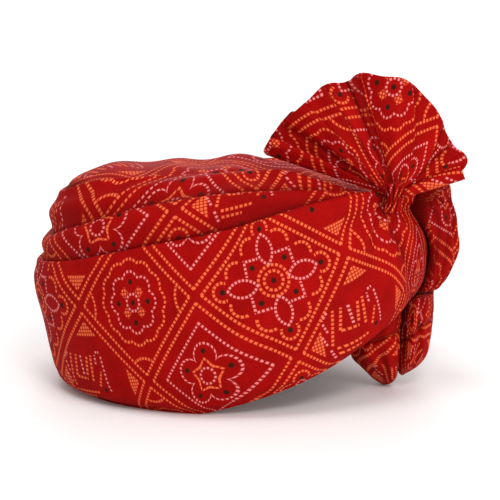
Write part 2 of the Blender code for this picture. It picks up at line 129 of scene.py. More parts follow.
def gridNormals(points, closed):
    # cross of the two grid directions, wrapped round where the grid closes
    if closed:
        rows = np.roll(points, -1, 0) - np.roll(points, 1, 0)
    else:
        rows = np.gradient(points, axis=0)
    return unit(np.cross(rows, np.gradient(points, axis=1)))


def pathLength(points, axis):
    # running sum of the steps along one direction of a grid
    steps = np.linalg.norm(np.diff(points, axis=axis), axis=-1)
    shape = list(steps.shape)
    shape[axis] = 1
    return np.concatenate([np.zeros(shape), np.cumsum(steps, axis=axis)], axis)


def wrapRound(rows):
    # the first row once more at the end, for a grid that closes round the piece
    return np.concatenate([rows, rows[:1]])


def patchArea(points):
    # sum of the grid cells' cross products
    a = points[1:, :-1] - points[:-1, :-1]
    b = points[:-1, 1:] - points[:-1, :-1]
    return np.linalg.norm(np.cross(a, b), axis=-1).sum()


def closeSection(points, cloth, shade):
    # repeats the first section point at the end, so that the tube closes round its section
    extra = cloth[:, -1:] + np.linalg.norm(points[0, -1] - points[0, 0])
    return (
        np.concatenate([points, points[:, :1]], 1),
        np.concatenate([cloth, extra], 1),
        np.concatenate([shade, shade[:, :1]], 1),
    )


def addObject(name, data):
    item = bpy.data.objects.new(name, data)
    bpy.context.scene.collection.objects.link(item)
    return item


def addMesh(name, vertices, faces, corners, shade):
    # faces and corners are lists of index arrays; corners hold cloth coordinates per face corner; shade
    # holds the painted shade per vertex
    mesh = bpy.data.meshes.new(name)
    mesh.from_pydata(vertices.tolist(), [], [f for block in faces for f in block.tolist()])
    layer = mesh.uv_layers.new(name="cloth")
    layer.data.foreach_set("uv", np.concatenate([c.reshape(-1) for c in corners]))
    # painted shade: stored per vertex for the cloth material to darken with
    store = mesh.attributes.new("shade", "FLOAT", "POINT")
    store.data.foreach_set("value", shade.astype(np.float32))
    mesh.shade_smooth()
    return addObject(name, mesh)


def gridMesh(name, points, cloth, shade, closed, caps=()):
    # quads over a grid; closed joins the last row to the first; caps name the ends to fill
    rows, columns = points.shape[:2]
    i, k = np.meshgrid(np.arange(rows if closed else rows - 1), np.arange(columns - 1), indexing="ij")
    i = i.ravel()
    k = k.ravel()
    j = (i + 1) % rows
    quads = np.stack([i * columns + k, j * columns + k, j * columns + k + 1, i * columns + k + 1], 1)
    corner = np.stack([cloth[i, k], cloth[i + 1, k], cloth[i + 1, k + 1], cloth[i, k + 1]], 1)
    vertices = [points.reshape(-1, 3)]
    shades = [shade.reshape(-1)]
    faces = [quads]
    corners = [corner]
    for end in caps:
        column = 0 if end == "first" else columns - 1
        pole = sum(len(block) for block in vertices)
        ring = np.arange(rows)
        after = (ring + 1) % rows
        a = ring * columns + column
        b = after * columns + column
        order = [a, np.full(rows, pole), b] if end == "first" else [a, b, np.full(rows, pole)]
        faces.append(np.stack(order, 1))
        middle = np.broadcast_to(cloth[:, column].mean(axis=0), (rows, 2))
        edge = [cloth[ring, column], middle, cloth[ring + 1, column]]
        corners.append(np.stack(edge if end == "first" else [edge[0], edge[2], edge[1]], 1))
        vertices.append(points[:, column].mean(axis=0)[None])
        shades.append(shade[:, column].mean()[None])
    return addMesh(name, np.concatenate(vertices), faces, corners, np.concatenate(shades))


def thickenSheet(piece, thickness):
    # half of the cloth on each side of the surface
    solid = piece.modifiers.new("thickness", "SOLIDIFY")
    solid.thickness = thickness
    solid.offset = 0.0
    return piece


def finishPiece(piece, node, material):
    piece.data.materials.append(material)
    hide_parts(node)
    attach(piece, "root")
    print("made", piece.name, len(piece.data.polygons), "faces")
    return piece


class Wire:
    # a value in a node tree, so that formulas read as formulas
    def __init__(self, tree, socket):
        self.tree = tree
        self.socket = socket

    def do(self, operation, *others):
        node = self.tree.nodes.new("ShaderNodeMath")
        node.operation = operation
        for place, value in enumerate((self, *others)):
            if isinstance(value, Wire):
                self.tree.links.new(value.socket, node.inputs[place])
            else:
                node.inputs[place].default_value = value
        return Wire(self.tree, node.outputs[0])

    def __add__(self, other):
        return self.do("ADD", other)

    def __sub__(self, other):
        return self.do("SUBTRACT", other)

    def __mul__(self, other):
        return self.do("MULTIPLY", other)

    def __truediv__(self, other):
        return self.do("DIVIDE", other)

    def size(self):
        return self.do("ABSOLUTE")

    def least(self, other):
        return self.do("MINIMUM", other)

    def most(self, other):
        return self.do("MAXIMUM", other)


# the dotted print, in millimetres on the cloth; "outOfReach" is farther than any dot's half width
printSizes = {
    "diamond": 122.0,
    "border": 3.7,
    "pitch": 3.35,
    "dot": 1.00,
    "whiteDot": 0.86,
    "greenDot": 2.1,
    "soft": 0.60,
    "hatch": 2.7,
    "outOfReach": 50.0,
}


def length2(x, y):
    # square root of the sum of squares
    return (x * x + y * y).do("SQRT")


def dotted(distance, along, pitch):
    # how far a point is from the nearest square dot on a line: the larger of the distance
    # from the line and the distance along it from the middle of a dot
    beside = ((along / pitch).do("FRACT") - 0.5).size() * pitch
    return distance.size().most(beside)


def ringDots(radius, angle, size, count):
    # dots on a circle round the motif's middle, count of them
    return dotted(radius - size, angle * size, 2 * np.pi * size / count)


def arcDots(x, y, radius, pitch):
    # dots on a circle round the point where x and y are 0
    return dotted(length2(x, y) - radius, y.do("ARCTAN2", x) * radius, pitch)


def lobedDots(radius, angle, rim, count):
    # dots on a closed curve whose radius changes with the angle
    beside = ((angle * (count / (2 * np.pi))).do("FRACT") - 0.5).size() * rim * (2 * np.pi / count)
    return (radius - rim).size().most(beside)


def unless(value, amount):
    # puts a stroke out of reach where amount is 1
    return value + amount * printSizes["outOfReach"]


def strokeDots(x, y, start, end, pitch):
    # dots along a straight stroke from start to end
    run = np.array(end) - np.array(start)
    long = float(np.hypot(*run))
    dx, dy = (run / long).tolist()
    along = (x - start[0]) * dx + (y - start[1]) * dy
    across = (y - start[1]) * dx - (x - start[0]) * dy
    outside = (along - long / 2).size().do("GREATER_THAN", long / 2)
    return unless(dotted(across, along, pitch), outside)


def hatched(hi, lo, thin):
    # small dots on a square grid: the larger of the two distances from the middle of a cell
    cell = printSizes["hatch"]
    across, along = (((line / cell).do("FRACT") - 0.5).size() for line in (hi, lo))
    return across.most(along) * cell + thin


medallionSizes = {
    "rings": ((7.2, 13), (11.6, 21)),
    "lobeAt": (27.0, 12.0),
    "lobe": (8.1, 3.2),
    "lobeOpen": 4.4,
    "capAt": 39.5,
    "cap": (7.0, 3.15),
    "capFrom": 36.5,
    "petalAt": (24.0, -7.3),
    "petal": (13.6, 3.0),
    "square": (19.0, 3.1),
    "squareFrom": 7.6,
    "innerGreen": 13.4,
}


def medallion(hi, lo, radius, angle):
    # four pointed petals, square lobes between them, two rings and a capped dot beyond each petal
    size = medallionSizes
    first, second = (ringDots(radius, angle, *ring) for ring in size["rings"])
    dx = hi - size["lobeAt"][0]
    dy = lo - size["lobeAt"][1]
    lobe = unless(arcDots(dx, dy, *size["lobe"]), (dx + dy).do("LESS_THAN", size["lobeOpen"]))
    cap = unless(arcDots(hi - size["capAt"], lo, *size["cap"]), hi.do("LESS_THAN", size["capFrom"]))
    orange = first.least(second).least(lobe).least(cap)
    petal = arcDots(lo - size["petalAt"][1], hi - size["petalAt"][0], *size["petal"])
    line, pitch = size["square"]
    square = unless(dotted(hi - line, lo, pitch), lo.do("LESS_THAN", size["squareFrom"]))
    inner = length2(hi - size["innerGreen"], lo - size["innerGreen"])
    return orange, petal.least(square), radius.least(inner).least(length2(hi - size["capAt"], lo))


rosetteSizes = {
    "rim": (30.0, 2.4, 56),
    "arcAt": 61.0,
    "arc": (18.5, 3.1),
    "arcHalf": 9.0,
    "hatchRing": (11.0, 2.8),
    "hatchWide": 4.6,
    "hatchThin": 0.10,
    "outline": (19.6, 3.6, 40),
    "ring": (6.4, 12),
    "outerGreen": 15.3,
}


def rosette(hi, lo, radius, angle):
    # scalloped ring, eight-lobed outline, ringed centre, small hatches and corner arcs
    size = rosetteSizes
    rim, scallop, rimDots = size["rim"]
    orange = lobedDots(radius, angle, (angle * 6.0).do("COSINE").size() * scallop + rim, rimDots)
    bend, pitch = size["arc"]
    arc = dotted(length2(hi - size["arcAt"], lo) - bend, lo + pitch / 2, pitch)
    orange = orange.least(unless(arc, lo.do("GREATER_THAN", size["arcHalf"])))
    middle, reach = size["hatchRing"]
    away = (radius - middle).size().do("GREATER_THAN", reach)
    off = (hi - lo).do("GREATER_THAN", size["hatchWide"])
    orange = orange.least(unless(unless(hatched(hi, lo, size["hatchThin"]), away), off))
    outline, lobe, outlineDots = size["outline"]
    white = lobedDots(radius, angle, (angle * 4.0).do("COSINE").size() * lobe + outline, outlineDots)
    white = white.least(ringDots(radius, angle, *size["ring"]))
    return orange, white, radius.least(length2(hi - size["outerGreen"], lo))


flowerSizes = {
    "petals": (15.0, 11.0, 48),
    "petalRoundness": 0.65,
    "diamond": 29.0,
    "ring": (6.5, 12),
    "star": (14.0, -4.4, 26),
    "greenAt": 20.0,
}


def flower(tall, wide, radius, angle):
    # five-lobed flower round a star and a ring, in a white diamond
    size = flowerSizes
    turned = angle - np.pi / 2
    half = turned * 2.5
    waist, swell, petalDots = size["petals"]
    rim = half.do("COSINE").size().do("POWER", size["petalRoundness"]) * swell + waist
    diamond = dotted(tall - size["diamond"], wide, printSizes["pitch"])
    white = lobedDots(radius, angle, rim, petalDots).least(diamond)
    white = white.least(ringDots(radius, angle, *size["ring"]))
    middle, point, starDots = size["star"]
    orange = lobedDots(radius, angle, half.do("SINE").size() * point + middle, starDots)
    fifth = 2 * np.pi / 5
    part = ((turned / fifth + 0.5).do("FRACT") - 0.5) * fifth
    green = length2(part.do("COSINE") * radius - size["greenAt"], part.do("SINE") * radius)
    return orange, white, green


# straight strokes from point to point, x to the right and y up from the diamond's middle
elephantStrokes = {
    "orange": (
        ((-31.5, -5.3), (-24.9, 22.9)),
        ((-23.2, 4.8), (-18.3, 22.7)),
        ((-23.2, 4.8), (-11.7, 3.5)),
        ((-11.2, 6.2), (-6.0, 22.5)),
        ((-6.7, 1.3), (-1.8, 22.8)),
        ((-1.6, -3.1), (5.9, 9.6)),
        ((-29.3, -8.4), (-5.7, -8.4)),
        ((-29.3, -13.2), (-14.2, -13.2)),
    ),
    "white": (
        ((-14.7, 6.4), (-13.1, 22.5)),
        ((2.0, 15.0), (3.2, 23.0)),
        ((4.4, 25.2), (9.6, 25.2)),
        ((10.6, 22.5), (9.6, -7.5)),
        ((-29.4, 23.7), (-35.5, 18.4)),
        ((-35.5, 16.4), (-32.4, 7.0)),
        ((-38.2, 6.3), (-34.8, -3.2)),
        ((-33.4, -7.0), (-30.8, -17.1)),
    ),
    "green": ((3.0, -6.0), (-15.3, -22.0)),
    "hatchThin": 0.05,
    "hatchFrom": 37.5,
    "hatchTo": 49.5,
}


def elephant(x, y, hi, lo):
    # a plain traditional elephant: hung cloth on its body, trunk to the right, hatched corners
    chart = elephantStrokes
    orange, white = (
        reduce(Wire.least, [strokeDots(x, y, *ends, printSizes["pitch"]) for ends in chart[colour]])
        for colour in ("orange", "white")
    )
    outside = (hi + lo).do("GREATER_THAN", chart["hatchTo"]).most(hi.do("LESS_THAN", chart["hatchFrom"]))
    orange = orange.least(unless(hatched(hi, lo, chart["hatchThin"]), outside))
    green = reduce(Wire.least, (length2(x - across, y - up) for across, up in chart["green"]))
    return orange, white, green


def newGroup(name, ins, outs):
    tree = bpy.data.node_groups.new(name, "ShaderNodeTree")
    for label, kind in ins:
        tree.interface.new_socket(label, in_out="INPUT", socket_type=kind)
    for label, kind in outs:
        tree.interface.new_socket(label, in_out="OUTPUT", socket_type=kind)
    return tree, tree.nodes.new("NodeGroupInput"), tree.nodes.new("NodeGroupOutput")


def printGroup():
    # dotted diamonds in a two by two repeat; masks of the three dot colours come out
    tree, source, sink = newGroup(
        "bandhaniPrint",
        [("Cloth", "NodeSocketVector")],
        [(label, "NodeSocketFloat") for label in ("Orange", "White", "Green")],
    )
    split = tree.nodes.new("ShaderNodeSeparateXYZ")
    tree.links.new(source.outputs["Cloth"], split.inputs[0])
    u = Wire(tree, split.outputs[0]) * (1000.0 / printSizes["diamond"])
    v = Wire(tree, split.outputs[1]) * (1000.0 / printSizes["diamond"])
    a = u + v
    b = u - v
    cellA = (a + 0.5).do("FLOOR")
    cellB = (b + 0.5).do("FLOOR")
    a = a - cellA
    b = b - cellB
    side = printSizes["diamond"] / np.sqrt(2)
    tall = a.size().most(b.size()) * side
    wide = a.size().least(b.size()) * side
    border = dotted(tall - (side / 2 - printSizes["border"]), wide, printSizes["pitch"])
    x = (a + b) * (printSizes["diamond"] / 2)
    y = (a - b) * (printSizes["diamond"] / 2)
    radius = length2(x, y)
    angle = y.do("ARCTAN2", x)
    hi = x.size().most(y.size())
    lo = x.size().least(y.size())
    oddRow = ((cellA - cellB) * 0.5).do("FRACT") * 2.0
    oddColumn = (((cellA + cellB) * 0.5).do("FLOOR") * 0.5).do("FRACT") * 2.0
    evenRow = oddRow * -1.0 + 1.0
    evenColumn = oddColumn * -1.0 + 1.0
    motifs = (
        (medallion(hi, lo, radius, angle), evenRow * oddColumn),
        (rosette(hi, lo, radius, angle), evenRow * evenColumn),
        (flower(tall, wide, radius, angle), oddRow * evenColumn),
        (elephant(x, y, hi, lo), oddRow * oddColumn),
    )
    nothing = border * 0.0 + printSizes["outOfReach"]
    far = [border, nothing, nothing]
    for strokes, chosen in motifs:
        far = [now.least(unless(stroke, chosen * -1.0 + 1.0)) for now, stroke in zip(far, strokes)]
    for label, dot, distance in zip(("Orange", "White", "Green"), ("dot", "whiteDot", "greenDot"), far):
        mask = (distance * -1.0 + printSizes[dot]) * (1.0 / printSizes["soft"]) + 0.5
        tree.links.new(mask.least(1.0).most(0.0).socket, sink.inputs[label])
    return tree


# texture scales across one metre of cloth, and how much each layer counts
crepeLook = {
    "threads": 320.0,
    "threadWander": 3.0,
    "threadDetail": 2.0,
    "thread": 0.3,
    "grains": 900.0,
    "grainDetail": 3.0,
    "grain": 0.6,
    "clouds": 34.0,
    "cloudDetail": 4.0,
    "tint": 0.9,
    "tintFloor": 0.4,
}


def clothNoise(tree, source, scale, detail):
    noise = tree.nodes.new("ShaderNodeTexNoise")
    noise.inputs["Scale"].default_value = scale
    noise.inputs["Detail"].default_value = detail
    tree.links.new(source.outputs["Cloth"], noise.inputs["Vector"])
    return Wire(tree, noise.outputs["Fac"])


def crepeGroup():
    # fine crossed threads and a grain over them, as a height and a tint
    tree, source, sink = newGroup(
        "crepeWeave",
        [("Cloth", "NodeSocketVector")],
        [("Height", "NodeSocketFloat"), ("Tint", "NodeSocketFloat")],
    )
    grain = clothNoise(tree, source, crepeLook["grains"], crepeLook["grainDetail"])
    cloud = clothNoise(tree, source, crepeLook["clouds"], crepeLook["cloudDetail"])
    height = grain * crepeLook["grain"]
    for direction in ("X", "Y"):
        wave = tree.nodes.new("ShaderNodeTexWave")
        wave.bands_direction = direction
        wave.inputs["Scale"].default_value = crepeLook["threads"]
        wave.inputs["Distortion"].default_value = crepeLook["threadWander"]
        wave.inputs["Detail Scale"].default_value = crepeLook["threadDetail"]
        tree.links.new(source.outputs["Cloth"], wave.inputs["Vector"])
        height = height + Wire(tree, wave.outputs["Fac"]) * crepeLook["thread"]
    tint = (cloud + grain) * crepeLook["tint"] - crepeLook["tintFloor"]
    tree.links.new(height.socket, sink.inputs["Height"])
    tree.links.new(tint.least(1.0).most(0.0).socket, sink.inputs["Tint"])
    return tree


bandhani = printGroup()
crepe = crepeGroup()
print("node groups made")

clothLook = {
    "red": (0.385, 0.0026, 0.0016),
    "deepRed": (0.150, 0.0004, 0.0004),
    # painted shade: the dark red that creases, valleys and recesses are darkened toward
    "paintedShadeRed": (0.110, 0.0004, 0.0003),
    "orange": (0.73, 0.118, 0.040),
    "white": (0.72, 0.200, 0.190),
    "green": (0.034, 0.007, 0.003),
    "weaveBump": 0.25,
    "weaveDepth": 0.0004,
    "surface": {
        "Roughness": 0.75,
        "Specular IOR Level": 0.04,
        "Sheen Weight": 0.015,
        "Sheen Roughness": 0.45,
        "Sheen Tint": (0.85, 0.06, 0.12, 1.0),
    },
}


def mixColour(tree, amount, first, second):
    # amount of the second colour over the first; each is a socket or a colour
    node = tree.nodes.new("ShaderNodeMix")
    node.data_type = "RGBA"
    for place, value in ((6, first), (7, second)):
        if isinstance(value, tuple):
            node.inputs[place].default_value = (*value, 1.0)
        else:
            tree.links.new(value, node.inputs[place])
    tree.links.new(amount, node.inputs[0])
    return node.outputs[2]


def clothMaterial(name, offset, turn=0.0, stretch=(1.0, 1.0)):
    # red crepe with the dotted print, darkened toward a dark red where the shade attribute paints shade;
    # offset moves the print on the piece, in metres
    material = bpy.data.materials.new(name)
    material.use_nodes = True
    tree = material.node_tree
    shader = tree.nodes["Principled BSDF"]
    cloth = tree.nodes.new("ShaderNodeUVMap")
    cloth.uv_map = "cloth"
    place = tree.nodes.new("ShaderNodeMapping")
    place.inputs["Location"].default_value = (*offset, 0.0)
    place.inputs["Rotation"].default_value = (0.0, 0.0, np.radians(turn))
    place.inputs["Scale"].default_value = (*stretch, 1.0)
    tree.links.new(cloth.outputs["UV"], place.inputs["Vector"])
    pattern = tree.nodes.new("ShaderNodeGroup")
    pattern.node_tree = bandhani
    weave = tree.nodes.new("ShaderNodeGroup")
    weave.node_tree = crepe
    for group in (pattern, weave):
        tree.links.new(place.outputs["Vector"], group.inputs["Cloth"])
    shade = tree.nodes.new("ShaderNodeAttribute")
    shade.attribute_name = "shade"
    colour = mixColour(tree, weave.outputs["Tint"], clothLook["red"], clothLook["deepRed"])
    for dots in ("Orange", "White", "Green"):
        colour = mixColour(tree, pattern.outputs[dots], colour, clothLook[dots.lower()])
    # painted shade: the shade attribute mixes the cloth toward the painted-shade dark red
    colour = mixColour(tree, shade.outputs["Fac"], colour, clothLook["paintedShadeRed"])
    tree.links.new(colour, shader.inputs["Base Color"])
    for socket, value in clothLook["surface"].items():
        shader.inputs[socket].default_value = value
    relief = tree.nodes.new("ShaderNodeBump")
    relief.inputs["Strength"].default_value = clothLook["weaveBump"]
    relief.inputs["Distance"].default_value = clothLook["weaveDepth"]
    tree.links.new(weave.outputs["Height"], relief.inputs["Height"])
    tree.links.new(relief.outputs["Normal"], shader.inputs["Normal"])
    return material


band = {
    "angle": (0, 30, 60, 90, 120, 150, 180),
    "foot": (0.40, 0.36, 0.31, 0.30, 0.45, 0.58, 0.66),
    "belly": (0.96, 0.90, 0.74, 0.68, 0.72, 0.86, 0.90),
    "edgeUp": (0.535, 0.590, 0.690, 0.780, 0.882, 0.880, 0.830),
    "seatUp": (0.30, 0.32, 0.38, 0.45, 0.52, 0.56, 0.56),
}
roll = {
    "up": (0.0, 0.05, 0.14, 0.28, 0.45, 0.62, 0.78, 0.90, 1.00),
    "front": (0.0, 0.34, 0.52, 0.64, 0.74, 0.85, 0.97, 1.00, 0.93),
    "side": (0.0, 0.36, 0.66, 0.88, 1.00, 1.00, 0.93, 0.84, 0.74),
    "back": (0.0, 0.40, 0.68, 0.88, 1.00, 1.00, 0.95, 0.88, 0.80),
}
middle = {
    "angle": (0, 30, 60, 90, 120, 150, 180),
    "edgeOut": (0.79, 0.67, 0.42, 0.28, 0.34, 0.44, 0.52),
    "edgeUp": (0.650, 0.740, 0.862, 0.928, 0.935, 0.872, 0.845),
    "seatUp": (0.44, 0.50, 0.60, 0.66, 0.70, 0.68, 0.67),
}
upper = {
    "angle": (0, 30, 60, 90, 120, 150, 180),
    "edgeOut": (0.62, 0.27, -0.34, -0.54, -0.42, 0.08, 0.20),
    "edgeUp": (0.830, 0.925, 0.960, 0.964, 0.972, 0.890, 0.855),
    "seatUp": (0.63, 0.72, 0.84, 0.87, 0.85, 0.76, 0.72),
}
headX = float(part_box("broad_band")[0][0]) + head["length"] / 2 + head["wrapWall"] * band["belly"][0]
around = 720
deepestShade = 0.8


def roundHead(table, wanted, angles):
    # a table row read at any angle; both sides of the head are alike
    return smoothRead(table["angle"], table[wanted], np.abs(angles))


def heightRoundHead(table, wanted, angles):
    # share of the crown's height, lower on the far side by the sine of the angle
    drop = head["farDrop"] * np.clip(-np.sin(np.radians(angles)), 0, 1)
    return roundHead(table, wanted, angles) * head["crownHeight"] * (1 - drop)


def plan(angles, out):
    # ellipse of the head grown outward; positive angles are the shown side
    turn = np.radians(angles)
    return -(head["length"] / 2 + out) * np.cos(turn), -(head["width"] / 2 + out) * np.sin(turn)


def toSpace(angles, section):
    # a section's "out" and height, swept round the head's ellipse
    x, y = plan(angles[:, None], section[..., 0])
    return np.stack([x, y, section[..., 1]], -1)


def rimHeight(x):
    # flat in front, then a slope that steepens toward the nape
    past = np.maximum(x + head["rimStart"], 0.0)
    run = head["rimStart"] + head["length"] / 2 + head["wrapWall"]
    return head["rimSlope"] * past * past / (past + head["rimEase"]) + head["napeRise"] * (past / run) ** 3


def domeOut(height, wall, shoulder, top):
    # upright wall up to the shoulder, then a superellipse that closes at the top
    risen = np.clip((height - shoulder) / (top - shoulder), 0.0, 1.0)
    left = (1 - risen ** head["capFullness"]) ** (1 / head["capFullness"])
    return wall - (head["width"] / 2 + wall) * (1 - left)


def capOut(height):
    # the cap's outside, under the wraps
    return domeOut(height, head["capWall"], head["capShoulder"], head["capTop"])


def outward(direction):
    # a section's direction turned a quarter, toward its outside
    return np.stack([direction[..., 1], -direction[..., 0]], -1)


def bandOutside(angles, share):
    # from foot to belly by the roll table, mixed from its front, side and back columns
    facing = np.cos(np.radians(angles))
    ahead = np.clip(facing, 0, 1) ** 2
    behind = np.clip(-facing, 0, 1) ** 2
    front, side, back = (smoothRead(roll["up"], roll[name], share) for name in ("front", "side", "back"))
    swing = front * ahead + back * behind + side * (1 - ahead - behind)
    foot = roundHead(band, "foot", angles) * head["wrapWall"]
    belly = roundHead(band, "belly", angles) * head["wrapWall"]
    return foot + (belly - foot) * swing


def seat(table, angles, lift=0.0):
    # where a wrap leaves the cap
    up = heightRoundHead(table, "seatUp", angles) + lift
    return np.stack([capOut(up) + head["capGap"], up], -1)


def lipRound(edge, start, steps=14):
    # half a circle from the edge over its top to the valley behind it
    along = unit(edge - start)[:, None]
    away = outward(along)
    radius = 0.8 * head["lip"]
    turn = np.linspace(0, np.pi, steps + 1)[None, 1:, None]
    return edge[:, None] - away * radius + radius * (away * np.cos(turn) + along * np.sin(turn))


def bowed(start, end, steps):
    # the straight way from start to end, and a parabola's bulge toward the outside on it
    s = (np.arange(1, steps + 1) / steps)[None, :, None]
    chord = np.linalg.norm(end - start, axis=-1)[:, None, None]
    bulge = np.minimum(head["bulge"], head["bow"] * chord)
    away = outward(unit(end - start))[:, None, :]
    return start[:, None] + (end - start)[:, None] * s + away * bulge * 4 * s * (1 - s)


def gatherPoint():
    # on the band's top edge, at the gather's angle
    angle = np.array([gather["angle"]])
    x, y = plan(angle, bandOutside(angle, np.array([1.0])))
    return np.array([x[0], y[0], heightRoundHead(band, "edgeUp", angle)[0]])


gatherAt = gatherPoint()


def fromGather(points):
    # distance from the gather, and the ray's angle in the plane that faces the shown side
    across = np.hypot(points[..., 0] - gatherAt[0], points[..., 1] - gatherAt[1])
    height = points[..., 2] - gatherAt[2]
    distance = np.hypot(across, height)
    ray = np.arctan2(height, np.where(points[..., 0] > gatherAt[0], across, -across))
    return distance, ray, height


def gathered(points):
    # folds that radiate below the gather, and a dimple round it, pushed toward the head's axis
    distance, ray, height = fromGather(points)
    fold = 0.5 - 0.5 * np.cos(gather["folds"] * ray)
    below = np.clip(-height / gather["dimpleLength"], 0, 1)
    depth = gather["depth"] * fold * below * np.exp(-distance / gather["length"])
    depth += gather["dimple"] * bump(distance, gather["dimpleLength"])
    kept = 1 - depth / np.hypot(points[..., 0], points[..., 1])
    return points * np.stack([kept, kept, np.ones_like(kept)], -1)


def placed(points):
    # from the head's axis to the shared frame
    return points + np.array([headX, 0.0, 0.0])


def evenAngles(count):
    # the seam lies at the back, under the hanging end
    return np.linspace(-180, 180, count, endpoint=False)


def clothAlong(angles, out):
    # arc length round the head, 0 at the middle of the shown side, growing toward the back
    line = np.linspace(-180, 180, 2881)
    x, y = plan(line, smoothRead(band["angle"], out, np.abs(line)))
    arc = np.concatenate([[0], np.cumsum(np.hypot(np.diff(x), np.diff(y)))])
    return np.interp(angles, line, arc - np.interp(90, line, arc))


bandDetail = {
    "foot": 5,
    "outside": 96,
    "inside": 8,
    "undulation": 0.0009,
    "softSize": 0.085,
    "fineSize": 0.035,
    "fine": 0.45,
    "crease": 0.0012,
    "creases": 7,
    "creaseLength": 0.11,
    "pinch": 0.0034,
    "pinches": 15,
    "pinchFrom": 0.012,
    "pinchLength": 0.055,
    "footEase": 0.12,
    "lipEase": 0.10,
    "seed": 11,
    "valleyShade": (0.55, 5.0),
    "gatherShade": (0.30, 0.012),
    "pinchShade": 0.75,
}
bandPrint = {
    "angle": (0, 20, 39.4, 58.6, 78.1, 102.1, 125.1, 145.2, 165, 180),
    "drop": (0.022, 0.028, 0.033, 0.037, 0.040, 0.043, 0.036, 0.013, 0.000, -0.005),
    "matched": (39.4, 58.6, 78.1, 102.1, 125.1, 145.2, 152.0, 168.0),
    "diamonds": (-0.5, 0.0, 0.5, 1.0, 1.5, 2.0, 2.22, 3.05),
}


def bandPrintAt(angles, below, arc):
    # u runs along the line of motif centres, v square to it; both are lengths on the cloth
    drop = smoothRead(bandPrint["angle"], bandPrint["drop"], np.abs(angles))
    line = np.linspace(-180, 180, 721)
    lineArc = clothAlong(line, [w * head["wrapWall"] for w in band["belly"]])
    lineDrop = smoothRead(bandPrint["angle"], bandPrint["drop"], np.abs(line))
    lineUp = heightRoundHead(band, "edgeUp", line) - lineDrop
    slope = np.arctan(np.gradient(lineUp, lineArc))
    along = np.concatenate([[0], np.cumsum(np.diff(lineArc) / np.cos(slope[1:]))])
    unitLength = printSizes["diamond"] / 1000
    first = np.interp(bandPrint["matched"][0], line, along)
    last = np.interp(bandPrint["matched"][-1], line, along)
    matched = np.interp(line, bandPrint["matched"], bandPrint["diamonds"]) * unitLength
    mapped = np.where(line < bandPrint["matched"][0], matched[0] + along - first, matched)
    mapped = np.where(line > bandPrint["matched"][-1], matched[-1] + along - last, mapped)
    tilt = np.interp(angles, line, slope)
    above = (drop - below) * np.cos(tilt)
    foot = arc + above * np.sin(tilt)
    return np.stack([np.interp(foot, lineArc, mapped), above], -1)


def addBand():
    # foot, rolled outside, round lip and hidden inner side, swept round the head
    detail = bandDetail
    angles = evenAngles(around)
    shares = np.linspace(0, 1, detail["outside"])[None, :]
    grid = angles[:, None] + 0 * shares
    outside = bandOutside(grid, shares + 0 * grid)
    foot = outside[:, 0]
    low = rimHeight(plan(angles, foot)[0])
    topUp = heightRoundHead(band, "edgeUp", angles)
    climb = low[:, None] + (topUp - low)[:, None] * shares
    profile = np.stack([outside, climb], -1)
    lip = lipRound(profile[:, -1], profile[:, -4])
    inner = np.full_like(angles, head["capWall"] + head["capGap"])
    innerLow = rimHeight(plan(angles, inner)[0])
    innerFoot = np.stack([inner, innerLow], -1)
    footEdge = np.stack([foot, low], -1)
    s = np.linspace(0, 1, detail["foot"], endpoint=False)[None, :, None]
    under = innerFoot[:, None] * (1 - s) + footEdge[:, None] * s
    own = seat(band, angles)
    down = np.linspace(0, 1, detail["inside"])[None, :, None]
    behind = own[:, None] * (1 - down) + innerFoot[:, None] * down
    section = np.concatenate([under, profile, lip, behind], 1)
    points = toSpace(angles, section)
    outer = slice(detail["foot"], detail["foot"] + detail["outside"] + lip.shape[1])
    points[:, outer] = gathered(points[:, outer])
    shaped = points[:, outer]
    normal = gridNormals(points, True)[:, outer]
    distance, ray, height = fromGather(shaped)
    share = np.linspace(0, 1, shaped.shape[1])[None, :]
    fade = np.clip(share / detail["footEase"], 0, 1) * np.clip((1 - share) / detail["lipEase"], 0, 1)
    soft = ripple(shaped, detail["softSize"], detail["seed"])
    soft = soft + detail["fine"] * ripple(shaped, detail["fineSize"], detail["seed"] + 1)
    crease = np.cos(detail["creases"] * ray + 1.5) * np.exp(-distance / detail["creaseLength"])
    turned = np.clip(np.sin(-ray), 0, 1) * np.clip(0.5 + 1.5 * np.cos(ray), 0, 1)
    pinch = groove(detail["pinches"] * ray) * turned * np.exp(-distance / detail["pinchLength"])
    pinch *= np.clip(distance / detail["pinchFrom"], 0, 1)
    lift = detail["undulation"] * soft + detail["crease"] * crease * (height < 0) - detail["pinch"] * pinch
    points[:, outer] = shaped + normal * (lift * fade)[..., None]
    edgeColumn = detail["foot"] + detail["outside"] - 1
    lengths = pathLength(section, 1)
    below = lengths[:, edgeColumn : edgeColumn + 1] - lengths
    below = wrapRound(below)
    allAngles = np.concatenate([angles, [180.0]])[:, None] + 0 * below
    arc = clothAlong(allAngles, [w * head["wrapWall"] for w in band["belly"]])
    cloth = bandPrintAt(allAngles, below, arc)
    column = np.arange(points.shape[1])[None, :] - (edgeColumn + lip.shape[1])
    shade = shadow(detail["valleyShade"], column) + np.zeros(points.shape[:2])
    shade[:, outer] += shadow(detail["gatherShade"], distance) + detail["pinchShade"] * pinch
    shade = np.clip(shade, 0, deepestShade)
    piece = gridMesh("broadBand", *closeSection(placed(points), cloth, shade), True)
    return finishPiece(piece, "broad_band", clothMaterial("bandCloth", (0.0, 0.0))), lip[:, -1]


